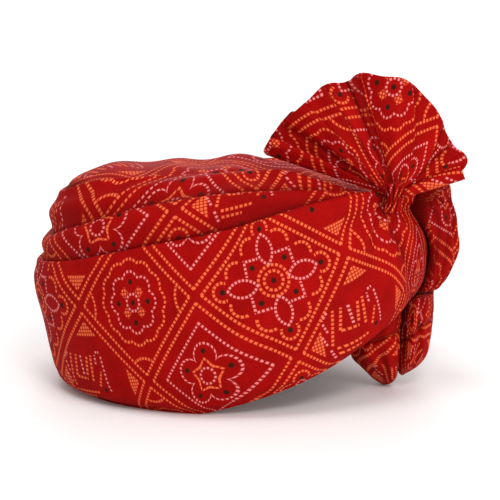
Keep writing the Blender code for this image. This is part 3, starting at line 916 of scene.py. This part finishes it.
wrapDetail = {
    "cap": 8,
    "outside": 44,
    "ridge": 0.0011,
    "wander": 2.4,
    "wanderSize": 0.12,
    "undulation": 0.0008,
    "undulationSize": 0.05,
    "ease": 0.15,
    "hollowWidth": 24.0,
    "valleyShade": (0.85, 5.0),
    "wideShade": (0.45, 14.0),
    "lipShade": (0.60, 4.5),
    "hollowShade": 0.45,
    "gatherShade": (0.35, 0.014),
}
wrapLooks = {
    "wrapMiddle": {
        "node": "wrap_middle", "offset": (-0.082, 0.035), "ridges": 1.6, "seed": 21,
        "hollowAngle": 112, "hollowDepth": 0.0035, "stretch": (1.0, 1.0),
    },
    "wrapUpper": {
        "node": "wrap_upper", "offset": (0.105, 0.062), "ridges": 2.2, "seed": 31,
        "hollowAngle": 150, "hollowDepth": 0.0010, "stretch": (1.15, 0.72),
    },
}


def addWrap(name, table, below, valley):
    # from the valley behind the lower lip, bowed up to its own round lip, then down to the cap
    detail = wrapDetail
    look = wrapLooks[name]
    angles = evenAngles(around)
    base = seat(below, angles, head["rest"])
    own = seat(table, angles)
    steps = np.linspace(1, 0, detail["cap"])[None, :]
    up = base[:, 1:] + (own[:, 1:] - base[:, 1:]) * steps
    against = np.stack([capOut(up) + head["capGap"], up], -1)
    out = roundHead(table, "edgeOut", angles) * head["wrapWall"]
    edge = np.stack([out, heightRoundHead(table, "edgeUp", angles)], -1)
    start = valley + head["gap"] * unit(edge - valley)
    outside = bowed(start, edge, detail["outside"])
    lip = lipRound(edge, outside[:, -3])
    section = np.concatenate([against, start[:, None], outside, lip], 1)
    points = toSpace(angles, section)
    outer = slice(detail["cap"], points.shape[1])
    points[:, outer] = gathered(points[:, outer])
    shaped = points[:, outer]
    normal = gridNormals(points, True)[:, outer]
    share = np.linspace(0, 1, shaped.shape[1])[None, :]
    fade = np.clip(share / detail["ease"], 0, 1) * np.clip((1 - share) / detail["ease"], 0, 1)
    wander = detail["wander"] * ripple(shaped, detail["wanderSize"], look["seed"])
    ridge = np.cos(2 * np.pi * look["ridges"] * share + wander)
    uneven = ripple(shaped, detail["undulationSize"], look["seed"] + 1)
    hollow = bump(angles[:, None] - look["hollowAngle"], detail["hollowWidth"])
    lift = detail["ridge"] * ridge + detail["undulation"] * uneven
    lift = lift - look["hollowDepth"] * hollow * np.sin(np.pi * share)
    points[:, outer] = shaped + normal * (lift * fade)[..., None]
    across = wrapRound(pathLength(section, 1))
    across = across - across[:, detail["cap"]][:, None]
    allAngles = np.concatenate([angles, [180.0]])[:, None] + 0 * across
    foot = below.get("edgeOut", band["belly"])
    halfway = [head["wrapWall"] * (a + b) / 2 for a, b in zip(foot, table["edgeOut"])]
    arc = clothAlong(allAngles, halfway)
    slope = np.gradient(heightRoundHead(table, "edgeUp", angles), clothAlong(angles, halfway))
    slope = wrapRound(slope)[:, None]
    cloth = np.stack([arc + across * np.sin(np.arctan(slope)), across], -1)
    column = np.arange(points.shape[1])[None, :]
    shade = np.zeros(points.shape[:2])
    for wanted, place in (("valleyShade", detail["cap"]), ("wideShade", detail["cap"]), ("lipShade", -1)):
        shade += shadow(detail[wanted], column - place % points.shape[1])
    shade[:, outer] += shadow(detail["gatherShade"], fromGather(shaped)[0])
    shade[:, outer] += detail["hollowShade"] * hollow * np.clip(1.15 - share, 0, 1)
    shade = np.clip(shade, 0, deepestShade)
    piece = gridMesh(name, *closeSection(placed(points), cloth, shade), True)
    material = clothMaterial(name + "Cloth", look["offset"], 0.0, look["stretch"])
    return finishPiece(piece, look["node"], material), lip[:, -1]


crownDetail = {
    "rings": 70,
    "ringEase": 0.8,
    "middle": 0.02,
    "pleats": 13,
    "pleatDepth": 0.0020,
    "fold": 0.0050,
    "front": 3.0,
    "side": 2.2,
    "back": 1.5,
    "foldSize": 0.042,
    "foldStretch": (1, 0.35, 1),
    "seed": 43,
    "wall": 10,
    "lining": 36,
    "liningWall": 8,
    "liningPrint": 0.09,
    "printFrom": 6,
    "valleyShade": (0.75, 3.5),
    "offset": (0.020, 0.080),
    "turn": 12.0,
}


def crownCloth(points, angles, split):
    # the dome's print is laid out from the top along its own surface; the lining's goes round it
    turn = np.radians(np.concatenate([angles, [180.0]]))[:, None]
    run = pathLength(wrapRound(points)[:, ::-1], 1)[:, ::-1] + 0.004
    top = np.stack([-run * np.cos(turn), run * np.sin(turn)], -1)
    lining = np.stack([turn * crownDetail["liningPrint"] + 0 * run, -run], -1)
    outside = (np.arange(points.shape[1]) >= split)[None, :, None]
    return np.where(outside, top, lining)


def addCrown(valley):
    # pleated dome inside the upper wrap, the cap wall down to the rim, and the head's hollow
    detail = crownDetail
    angles = evenAngles(around)
    insideLow, low = (rimHeight(plan(angles, wall)[0]) + head["rimStep"] for wall in (0.0, head["capWall"]))
    seatUp = seat(upper, angles)[:, 1]
    wallTop = np.minimum(head["capShoulder"], seatUp)
    steps = np.linspace(0, 1, detail["wall"])[None, :]
    straight = low[:, None] + (wallTop - low)[:, None] * steps[:, :-1]
    curved = wallTop[:, None] + (seatUp - wallTop)[:, None] * steps
    wallUp = np.concatenate([straight, curved], 1)
    wall = np.stack([capOut(wallUp), wallUp], -1)
    start = valley - head["gap"] * outward(unit(valley - wall[:, -1]))
    outer = toSpace(angles, np.concatenate([wall, start[:, None]], 1))
    facing = np.cos(np.radians(angles))
    toward = np.where(facing > 0, detail["front"], detail["back"])
    fullness = (detail["side"] + (toward - detail["side"]) * facing**2)[:, None]
    share = np.linspace(1, detail["middle"], detail["rings"])[None, 1:] ** detail["ringEase"]
    edge = toSpace(angles, start[:, None])
    dome = edge * np.array([1.0, 1.0, 0.0]) * share[..., None]
    rise = (1 - share**fullness) ** (1 / fullness)
    dome[..., 2] = edge[..., 2] + (head["crownTop"] - edge[..., 2]) * rise
    ray = np.arctan2(dome[..., 1] - gatherAt[1], dome[..., 0] - gatherAt[0])
    arch = 4 * share * (1 - share)
    dome[..., 2] += detail["pleatDepth"] * np.cos(detail["pleats"] * ray) * arch
    folds = ripple(dome * detail["foldStretch"], detail["foldSize"], detail["seed"])
    dome[..., 2] += detail["fold"] * folds * arch**0.7
    dome = gathered(dome)
    outer[:, -1:] = gathered(outer[:, -1:])
    hollowShare = np.sin(np.linspace(0, np.pi / 2, detail["lining"]))[None, :-1]
    hollowUp = head["hollowShoulder"] + (head["depth"] - head["hollowShoulder"]) * hollowShare
    hollowOut = domeOut(hollowUp, 0.0, head["hollowShoulder"], head["depth"])
    hollow = np.stack([hollowOut, hollowUp], -1) + np.zeros((len(angles), 1, 1))
    s = np.linspace(0, 1, detail["liningWall"], endpoint=False)[None, :, None]
    rimPoint = np.stack([0 * insideLow, insideLow], -1)[:, None]
    liningWall = rimPoint * (1 - s) + hollow[:, :1] * s
    inner = toSpace(angles, np.concatenate([liningWall, hollow], 1))
    points = np.concatenate([inner[:, ::-1], outer, dome], 1)
    firstOuter = inner.shape[1] + outer.shape[1]
    cloth = crownCloth(points, angles, inner.shape[1] + detail["printFrom"])
    column = np.arange(points.shape[1])[None, :]
    shade = shadow(detail["valleyShade"], column - firstOuter) + 0 * points[..., 0]
    shade = np.clip(shade, 0, deepestShade)
    piece = gridMesh("crownDome", placed(points), cloth, shade, True, ("first", "last"))
    return finishPiece(piece, "crown", clothMaterial("crownCloth", detail["offset"], detail["turn"]))


fan = {
    "reach": 0.108,
    "cloth": 0.0016,
    "leanUp": 0.14,
    "leanSide": 0.42,
    "opening": 0.8,
    "spread": 0.55,
    "neckWidth": 0.027,
    "neckHeight": 0.023,
    "neckDepth": 0.020,
    "neckClearance": 0.0014,
    "start": 0.20,
    "fullness": 1.35,
    "edgeWidth": 0.08,
    "edgeShort": 0.04,
    "flutter": 0.0008,
    "flutters": 19,
    "creaseFront": 0.22,
    "creaseShade": 180,
    "rippleSize": 0.028,
    "rollFrom": 0.74,
    "roll": 0.0050,
    "rollTurn": 1.5 * np.pi,
    "neckShade": (0.60, 0.12),
    "deepestShade": 0.85,
    "printPinch": 0.6,
    "printRow": 60,
    "across": 150,
    "along": 90,
    "flatHem": 1.05,
    "flatArea": 1.15,
}
fanRim = {
    "angle": (6, 15, 25, 40, 52, 64, 76, 86, 97, 106, 114, 120, 133, 147, 157, 170),
    "reach": (
        0.36, 0.44, 0.55, 0.53, 0.56, 0.65, 0.73, 0.81,
        0.83, 0.87, 0.85, 0.89, 0.88, 0.90, 0.92, 0.94,
    ),
}
# creases: place across the lobe from its left edge at the rim, how far it drifts toward the
# gather, depth and width of the step, and the cloth hidden in the fold, in metres
fanLobes = {
    "fanLeft": {
        "node": "fan_left", "first": 141, "last": 165, "front": 0.003, "bow": 0.004, "lead": 0.0,
        "creases": ((0.35, 0.10, 0.0012, 0.16, 0.006),), "dark": 1.0, "sideShade": (0.62, 0.36),
        "ripple": 0.0012, "seed": 51, "offset": (0.050, 0.030), "turn": 20, "bend": 0, "edgeRoll": 0.0020,
        "rolled": False,
    },
    "fanMiddle": {
        "node": "fan_middle", "first": 106, "last": 149, "front": 0.010, "bow": 0.010, "lead": 0.14,
        "creases": (
            (0.34, -0.10, 0.0012, -0.12, 0.006), (0.60, -0.05, 0.0020, -0.10, 0.016),
            (0.84, 0.0, 0.0036, -0.06, 0.022),
        ),
        "dark": 1.0, "sideShade": (0.80, 0.20), "ripple": 0.0018, "seed": 52,
        "offset": (0.010, 0.070), "turn": -30, "bend": -4, "edgeRoll": 0.0052, "rolled": False,
    },
    "fanRight": {
        "node": "fan_right", "first": 44, "last": 113, "front": 0.003, "bow": 0.009, "lead": 0.12,
        "creases": (
            (0.10, 0.04, 0.0012, 0.05, 0.006), (0.44, 0.34, 0.0014, 0.10, 0.006),
            (0.80, 0.36, 0.0034, 0.08, 0.024),
        ),
        "dark": 0.0, "sideShade": (0.45, 0.05), "ripple": 0.0020, "seed": 53,
        "offset": (0.036, 0.052), "turn": 15, "bend": 0, "edgeRoll": 0.0030, "rolled": False,
    },
    "fanEnd": {
        "node": "fan_end", "first": 9, "last": 49, "front": -0.005, "bow": 0.005, "lead": 0.0,
        "creases": ((0.42, 0.10, 0.0016, 0.12, 0.010),), "dark": 0.0, "sideShade": (0.60, 0.20),
        "ripple": 0.0009, "seed": 54, "offset": (0.100, 0.050), "turn": -20, "bend": 0, "edgeRoll": 0.0010,
        "rolled": True,
    },
}


def fanBase():
    # middle of the neck, just outside the band's dimple
    centre = gatherAt.copy()
    away = centre[:2] / np.linalg.norm(centre[:2])
    centre[:2] += away * (fan["neckDepth"] / 2 + fan["neckClearance"] - gather["dimple"])
    return centre


def addFanLobe(name):
    # rays from the gather, arched toward the shown side, with sharp creases that open outward
    lobe = fanLobes[name]
    u = np.linspace(0, 1, fan["across"])[:, None]
    v = np.linspace(0, 1, fan["along"])[None, :]
    spread = np.minimum(u, fan["rollFrom"]) if lobe["rolled"] else u
    degrees = lobe["last"] + (lobe["first"] - lobe["last"]) * spread
    degrees = degrees + lobe["bend"] * np.sin(np.pi * v) * (1 - u)
    ray = np.radians(degrees)
    reach = smoothRead(fanRim["angle"], fanRim["reach"], degrees) * fan["reach"]
    first = fan["start"] / np.hypot(np.cos(ray) / fan["neckWidth"], np.sin(ray) / fan["neckHeight"])
    edge = np.clip(1 - np.minimum(u, 1 - u) / fan["edgeWidth"], 0, 1) ** 2
    run = first + (reach * (1 - fan["edgeShort"] * edge) - first) * v
    lean = run * (fan["leanUp"] + (fan["leanSide"] - fan["leanUp"]) * np.clip(-np.cos(ray), 0, 1))
    openOut = v ** fan["opening"]
    arch = np.sin(np.pi * (lobe["lead"] + (1 - lobe["lead"]) * u)) ** 0.6
    flutter = fan["flutter"] * np.cos(fan["flutters"] * u + 2 * v) * np.sin(np.pi * u)
    wave = lobe["bow"] * arch + flutter
    shade = shadow(fan["neckShade"], v) + shadow(lobe["sideShade"], u - lobe["dark"])
    hidden = 0 * u
    for place, drift, depth, wide, cloth in lobe["creases"]:
        past = (u - place - drift * (1 - v)) / wide
        valley = np.exp(np.where(past < 0, past / fan["creaseFront"], -past))
        wave = wave - depth * valley
        shade = shade + fan["creaseShade"] * depth * valley**2 * np.clip(1.3 - 0.7 * v, 0, 1)
        hidden = hidden + cloth * np.clip(np.sign(wide) * past * 4 + 0.5, 0, 1)
    wave = wave - lobe["edgeRoll"] * edge
    forward = lobe["front"] * (1 - fan["spread"] + fan["spread"] * openOut) + wave * openOut
    centre = fanBase()
    points = centre + np.stack([run * np.cos(ray), lean - forward, run * np.sin(ray)], -1)
    points[..., 1] -= lobe["ripple"] * ripple(points, fan["rippleSize"], lobe["seed"]) * openOut
    if lobe["rolled"]:
        curl = np.clip((u - fan["rollFrom"]) / (1 - fan["rollFrom"]), 0, 1) * fan["rollTurn"]
        radius = fan["roll"] * (0.5 + 0.5 * v)
        points[..., 0] += radius * np.sin(curl) * np.sin(ray)
        points[..., 2] -= radius * np.sin(curl) * np.cos(ray)
        points[..., 1] -= radius * (1 - np.cos(curl))
    across = pathLength(points, 0)
    across -= across[fan["across"] // 2][None, :]
    spreadAt = across[:, fan["printRow"]][:, None]
    across = (across * (1 - fan["printPinch"]) + spreadAt * fan["printPinch"]) * fan["fullness"] + hidden
    cloth = np.stack([across, pathLength(points, 1)], -1)
    piece = gridMesh(name, placed(points), cloth, np.clip(shade, 0, fan["deepestShade"]), False)
    thickenSheet(piece, fan["cloth"])
    finishPiece(piece, lobe["node"], clothMaterial(name + "Cloth", lobe["offset"], lobe["turn"]))
    wide = float(pathLength(points, 0)[-1].max())
    tall = float(pathLength(points, 1)[:, -1].max())
    area = float(patchArea(points)) * fan["flatArea"]
    min(area, wide * tall * 1.1)
    return piece


neck = {
    "sides": 200,
    "rings": 80,
    "folds": 9,
    "fold": 0.26,
    "twist": 1.2,
    "waist": 0.55,
    "footWidth": 0.45,
    "uneven": 0.05,
    "half": 0.46,
    "footIn": 0.12,
    "printWide": 0.11,
    "printTall": 0.014,
    "foldShade": 0.65,
    "waistShade": (0.25, 0.5),
    "offset": (0.0, 0.02),
}


def addNeck():
    # a waisted bundle of upright folds, wider at the top and bottom where they run out
    turn = np.linspace(0, 2 * np.pi, neck["sides"], endpoint=False)[:, None]
    v = np.linspace(-0.96, 0.96, neck["rings"])[None, :]
    girth = neck["waist"] + (1 - neck["waist"]) * v**2 * np.where(v < 0, neck["footWidth"], 1.0)
    girth = girth * np.clip((1 - v**4) * 4, 0, 1) ** 0.5
    grooves = groove(neck["folds"] * turn + neck["twist"] * v)
    girth = girth * (1 - neck["fold"] * grooves) + neck["uneven"] * np.cos(3 * turn + 2 * v)
    side = neck["half"] * girth * np.cos(turn) * fan["neckWidth"]
    out = neck["half"] * girth * np.sin(turn) - neck["footIn"] * np.clip(-v, 0, 1) ** 2
    out = out * fan["neckDepth"]
    rise = 0.5 * v * fan["neckHeight"] + 0 * turn
    centre = fanBase()
    away = np.array([centre[0], centre[1], 0.0]) / np.hypot(centre[0], centre[1])
    beside = np.array([-away[1], away[0], 0.0])
    points = centre + side[..., None] * beside + rise[..., None] * np.array([0, 0, 1.0])
    points = points + out[..., None] * away
    wide = np.linspace(0, neck["printWide"], neck["sides"] + 1)[:, None] + 0 * v
    cloth = np.stack([wide, neck["printTall"] * v + 0 * wide], -1)
    shade = neck["foldShade"] * grooves + shadow(neck["waistShade"], v)
    shade = np.clip(shade, 0, fan["deepestShade"])
    piece = gridMesh("gatherNeck", placed(points), cloth, shade, True, ("first", "last"))
    finishPiece(piece, "gather_neck", clothMaterial("neckCloth", neck["offset"]))
    return piece


hangingEnd = {
    "thick": 0.018,
    "width": 0.050,
    "edge": 0.004,
    "clearance": 0.0016,
    "folds": 3,
    "foldDepth": 0.15,
    "crumple": 0.0016,
    "crumpleSize": 0.022,
    "seed": 71,
    "lines": 9,
    "lineDepth": 0.22,
    "lineShade": 0.50,
    "edgeShade": (0.30, 0.25),
    "topShade": (0.30, 0.15),
    "crumpleShade": 0.25,
    "deepestShade": 0.92,
    "printWide": 1.6,
    "offset": (0.02, 0.05),
    "along": (0.00, 0.25, 0.50, 0.75, 1.00),
    "angle": (160.0, 166.0, 172.0, 175.0, 176.0),
    "up": (0.880, 0.830, 0.700, 0.560, 0.425),
    "wide": (0.60, 0.88, 1.00, 1.00, 0.75),
    "thickness": (0.75, 1.05, 1.10, 1.05, 0.80),
    "slant": (60, 35, 10, 0, 0),
}


def addHangingEnd():
    # a pad laid down the back of the band, gathered lengthwise
    u = np.cos(np.linspace(np.pi, 0, 90))[:, None]
    v = np.linspace(0, 1, 100)[None, :]
    wanted = ("angle", "up", "wide", "thickness", "slant")
    read = {name: smoothRead(hangingEnd["along"], hangingEnd[name], v) for name in wanted}
    width = read["wide"] * hangingEnd["width"] / 2
    radius = head["length"] / 2 + head["wrapWall"]
    angle = read["angle"] + np.degrees(u * width * np.cos(np.radians(read["slant"])) / radius)
    up = read["up"] * head["crownHeight"] + u * width * np.sin(np.radians(read["slant"]))
    low = rimHeight(plan(angle, bandOutside(angle, 0 * angle))[0])
    topUp = heightRoundHead(band, "edgeUp", angle)
    share = np.clip((up - low) / (topUp - low), 0, 1)
    inside = bandOutside(angle, share) + hangingEnd["clearance"]
    fold = 1 - hangingEnd["foldDepth"] * (1 - np.cos(hangingEnd["folds"] * np.pi * u))
    bent = u + 0.10 * np.sin(3.5 * v + 2 * u)
    lines = groove(hangingEnd["lines"] * np.pi * bent + 2 * v)
    fine = hangingEnd["lineDepth"] * lines * (1 - u**2)
    thick = hangingEnd["thick"] * read["thickness"]
    outside = inside + hangingEnd["edge"] + (thick - hangingEnd["edge"]) * (fold - fine) * (1 - u**4)
    crumpled = np.stack([*plan(angle, outside), up], -1)
    crumple = ripple(crumpled, hangingEnd["crumpleSize"], hangingEnd["seed"])
    outside = outside + hangingEnd["crumple"] * (crumple - 0.6) * (1 - u**4) * np.sin(np.pi * v)
    front = np.stack([*plan(angle, outside), up], -1)
    back = gathered(np.stack([*plan(angle, inside), up], -1))
    points = np.concatenate([front, back[::-1]])
    lengths = pathLength(wrapRound(points), 0)
    tall = pathLength(front, 1)
    tall = wrapRound(np.concatenate([tall, tall[::-1]]))
    cloth = np.stack([lengths * hangingEnd["printWide"], tall], -1)
    # painted shade on the pad: darker in the fold lines, at the edge and the top, lighter on crumple bulges
    dark = hangingEnd["lineShade"] * lines - hangingEnd["crumpleShade"] * crumple
    dark = dark + shadow(hangingEnd["edgeShade"], u + 1) + shadow(hangingEnd["topShade"], v)
    # painted shade: the back half, against the band, is painted as dark as the clip allows
    shade = np.clip(np.concatenate([dark, 1 + 0 * dark]), 0, hangingEnd["deepestShade"])
    piece = gridMesh("hangingEnd", placed(points), cloth, shade, True, ("first", "last"))
    finishPiece(piece, "hanging_end", clothMaterial("hangingCloth", hangingEnd["offset"]))
    return piece


tail = {
    "flute": 0.12,
    "folds": 6,
    "up": (0.00, 0.12, 0.30, 0.60, 1.00),
    "wrinkle": 0.03,
    "wrinkles": 11,
    "crossing": 0.12,
    "crossingWidth": 0.035,
    "overhang": 0.04,
    "overhangEase": 0.03,
    "hiddenCloth": 0.03,
    "printPinch": 0.7,
    "printRow": 50,
    "grooveShade": 0.35,
    "topShade": (0.30, 0.12),
    "crossingShade": 0.55,
    "gap": 0.0012,
}
tailLobes = {
    "tailUpper": {
        "node": "tail_upper", "base": 0.008, "size": (0.026, 0.056),
        "x": (0.520, 0.585, 0.656, 0.693, 0.700),
        "y": (-0.07, -0.07, -0.08, -0.08, -0.06),
        "half": (0.55, 0.80, 0.93, 1.00, 1.00),
        "offset": (0.03, 0.0), "turn": 48, "gathers": 2.2, "twist": 2.0, "hood": -0.004,
        "foldAt": 0.62, "foldTilt": 0.12, "rounded": 0.30,
    },
    "tailLower": {
        "node": "tail_lower", "base": 0.0, "size": (0.036, 0.050),
        "x": (0.285, 0.262, 0.208, 0.140, 0.165),
        "y": (-0.07, -0.09, -0.12, -0.16, -0.19),
        "half": (0.43, 0.54, 0.72, 1.00, 0.96),
        "offset": (0.06, 0.03), "turn": 10, "gathers": 1.1, "twist": -3.5, "hood": 0.010,
        "foldAt": 0.86, "foldTilt": -0.08, "rounded": 0.20,
    },
}


def addTail(name):
    # fluted rings from a foot that rounds off as a quarter ellipse up to the band's underside
    lobe = tailLobes[name]
    turn = np.linspace(0, 2 * np.pi, 120, endpoint=False)[:, None]
    v = np.linspace(0, 1, 90)[None, :]
    x = head["length"] / 2 + smoothRead(tail["up"], lobe["x"], v) * head["wrapWall"]
    y = smoothRead(tail["up"], lobe["y"], v) * head["width"]
    footShare = np.clip(v / lobe["rounded"], 0.02, 1)
    half = smoothRead(tail["up"], lobe["half"], v) / 2 * np.sqrt(1 - (1 - footShare) ** 2)
    grooves = groove(tail["folds"] * turn + lobe["twist"] * v)
    wrinkles = np.cos(tail["wrinkles"] * turn + 4 * v)
    foldLine = v - lobe["foldAt"] - lobe["foldTilt"] * np.cos(turn)
    crossing = bump(foldLine, tail["crossingWidth"])
    over = np.clip(foldLine / tail["overhangEase"] + 0.5, 0, 1)
    shown = 0.15 + 0.85 * np.clip(-np.sin(turn), 0, 1)
    raised = tail["overhang"] * over - tail["flute"] * grooves - tail["wrinkle"] * wrinkles
    flute = 1 + raised * np.sin(np.pi * v) - tail["crossing"] * crossing * shown
    near = np.clip(-np.sin(turn) - 0.2, 0, 1) * np.sin(np.pi * np.clip(v * 1.15, 0, 1)) ** 0.6
    x = x + lobe["size"][0] * half * np.cos(turn) * flute + lobe["hood"] * near
    y = y + lobe["size"][1] * half * np.sin(turn) * flute
    footX = head["length"] / 2 + band["foot"][-1] * head["wrapWall"]
    z = lobe["base"] + (rimHeight(np.minimum(x, footX)) - tail["gap"] - lobe["base"]) * v
    points = np.stack([x, y, z], -1)
    wrapped = wrapRound(points)
    lengths = pathLength(wrapped, 0)
    narrow = lengths[:, tail["printRow"]][:, None] * tail["printPinch"]
    lengths = lengths * (1 - tail["printPinch"]) + narrow
    hidden = tail["hiddenCloth"] * wrapRound(over)
    cloth = np.stack([lengths * lobe["gathers"] + hidden, pathLength(wrapped, 1) + hidden], -1)
    shade = tail["grooveShade"] * grooves + shadow(tail["topShade"], v - 1)
    shade = np.clip(shade + tail["crossingShade"] * crossing, 0, deepestShade)
    piece = gridMesh(name, placed(points), cloth, shade, True, ("first", "last"))
    finishPiece(piece, lobe["node"], clothMaterial(name + "Cloth", lobe["offset"], lobe["turn"]))
    return piece


stage = {
    "aim": 0.0116,
    "height": 0.1046,
    "distance": 1.7,
    "elevation": 12.0,
    "lens": 157.9,
    "floorHalf": 4.0,
    "floor": (0.86, 0.855, 0.85),
    "floorPaler": 0.97,
    "floorClouds": 6.0,
    "floorRoughness": 0.85,
    "world": 0.72,
}
# place, target, size in metres and power in watts
lights = {
    "keyLight": ((0.30, -1.5, 1.4), (0, 0, 0.1), 0.6, 12.5),
    "fillLight": ((1.3, -1.3, 0.35), (0.05, 0, 0.06), 0.9, 14.0),
    "topLight": ((-0.2, -0.5, 1.8), (0, 0, 0.1), 0.8, 10.0),
    "backdropLight": ((0.0, 3.8, 1.6), (0, 2.6, 0), 3.0, 70.0),
}


def addFloor():
    mesh = bpy.data.meshes.new("floor")
    size = stage["floorHalf"]
    corners = [(-size, -size, 0), (size, -size, 0), (size, size, 0), (-size, size, 0)]
    mesh.from_pydata(corners, [], [(0, 1, 2, 3)])
    floor = addObject("floor", mesh)
    material = bpy.data.materials.new("floorPaint")
    material.use_nodes = True
    tree = material.node_tree
    shader = tree.nodes["Principled BSDF"]
    coordinates = tree.nodes.new("ShaderNodeTexCoord")
    noise = tree.nodes.new("ShaderNodeTexNoise")
    noise.inputs["Scale"].default_value = stage["floorClouds"]
    tree.links.new(coordinates.outputs["Object"], noise.inputs["Vector"])
    paler = tuple(stage["floorPaler"] * value for value in stage["floor"])
    colour = mixColour(tree, noise.outputs["Fac"], stage["floor"], paler)
    tree.links.new(colour, shader.inputs["Base Color"])
    shader.inputs["Roughness"].default_value = stage["floorRoughness"]
    mesh.materials.append(material)
    return floor


def addLight(name, place, target, size, power):
    data = bpy.data.lights.new(name, "AREA")
    data.shape = "DISK"
    data.size = size
    data.energy = power
    light = addObject(name, data)
    light.location = place
    aimAt(light, target)
    return light


def aimAt(item, target):
    direction = np.array(target) - np.array(item.location)
    flat = np.hypot(direction[0], direction[1])
    item.rotation_euler = (
        np.arctan2(flat, -direction[2]),
        0.0,
        np.arctan2(direction[1], direction[0]) - np.pi / 2,
    )


def addCamera():
    data = bpy.data.cameras.new("photoCamera")
    data.lens = stage["lens"]
    data.sensor_width = 36.0
    camera = addObject("photoCamera", data)
    tilt = np.radians(stage["elevation"])
    aim = np.array([headX + stage["aim"], 0.0, stage["height"]])
    camera.location = aim + stage["distance"] * np.array([0.0, -np.cos(tilt), np.sin(tilt)])
    aimAt(camera, aim)
    bpy.context.scene.camera = camera
    return camera


def addWorld():
    world = bpy.data.worlds.new("studio")
    world.use_nodes = True
    background = world.node_tree.nodes["Background"]
    background.inputs["Color"].default_value = (1.0, 1.0, 1.0, 1.0)
    background.inputs["Strength"].default_value = stage["world"]
    bpy.context.scene.world = world


addCamera()
addWorld()
addFloor()
for lightName, settings in lights.items():
    addLight(lightName, *settings)
bpy.context.scene.view_settings.view_transform = "Standard"
print("floor, lights and camera")

bandPiece, bandValley = addBand()
middlePiece, middleValley = addWrap("wrapMiddle", middle, band, bandValley)
upperPiece, upperValley = addWrap("wrapUpper", upper, middle, middleValley)
crownPiece = addCrown(upperValley)
for lobeName in fanLobes:
    addFanLobe(lobeName)
addNeck()
addHangingEnd()
for lobeName in tailLobes:
    addTail(lobeName)
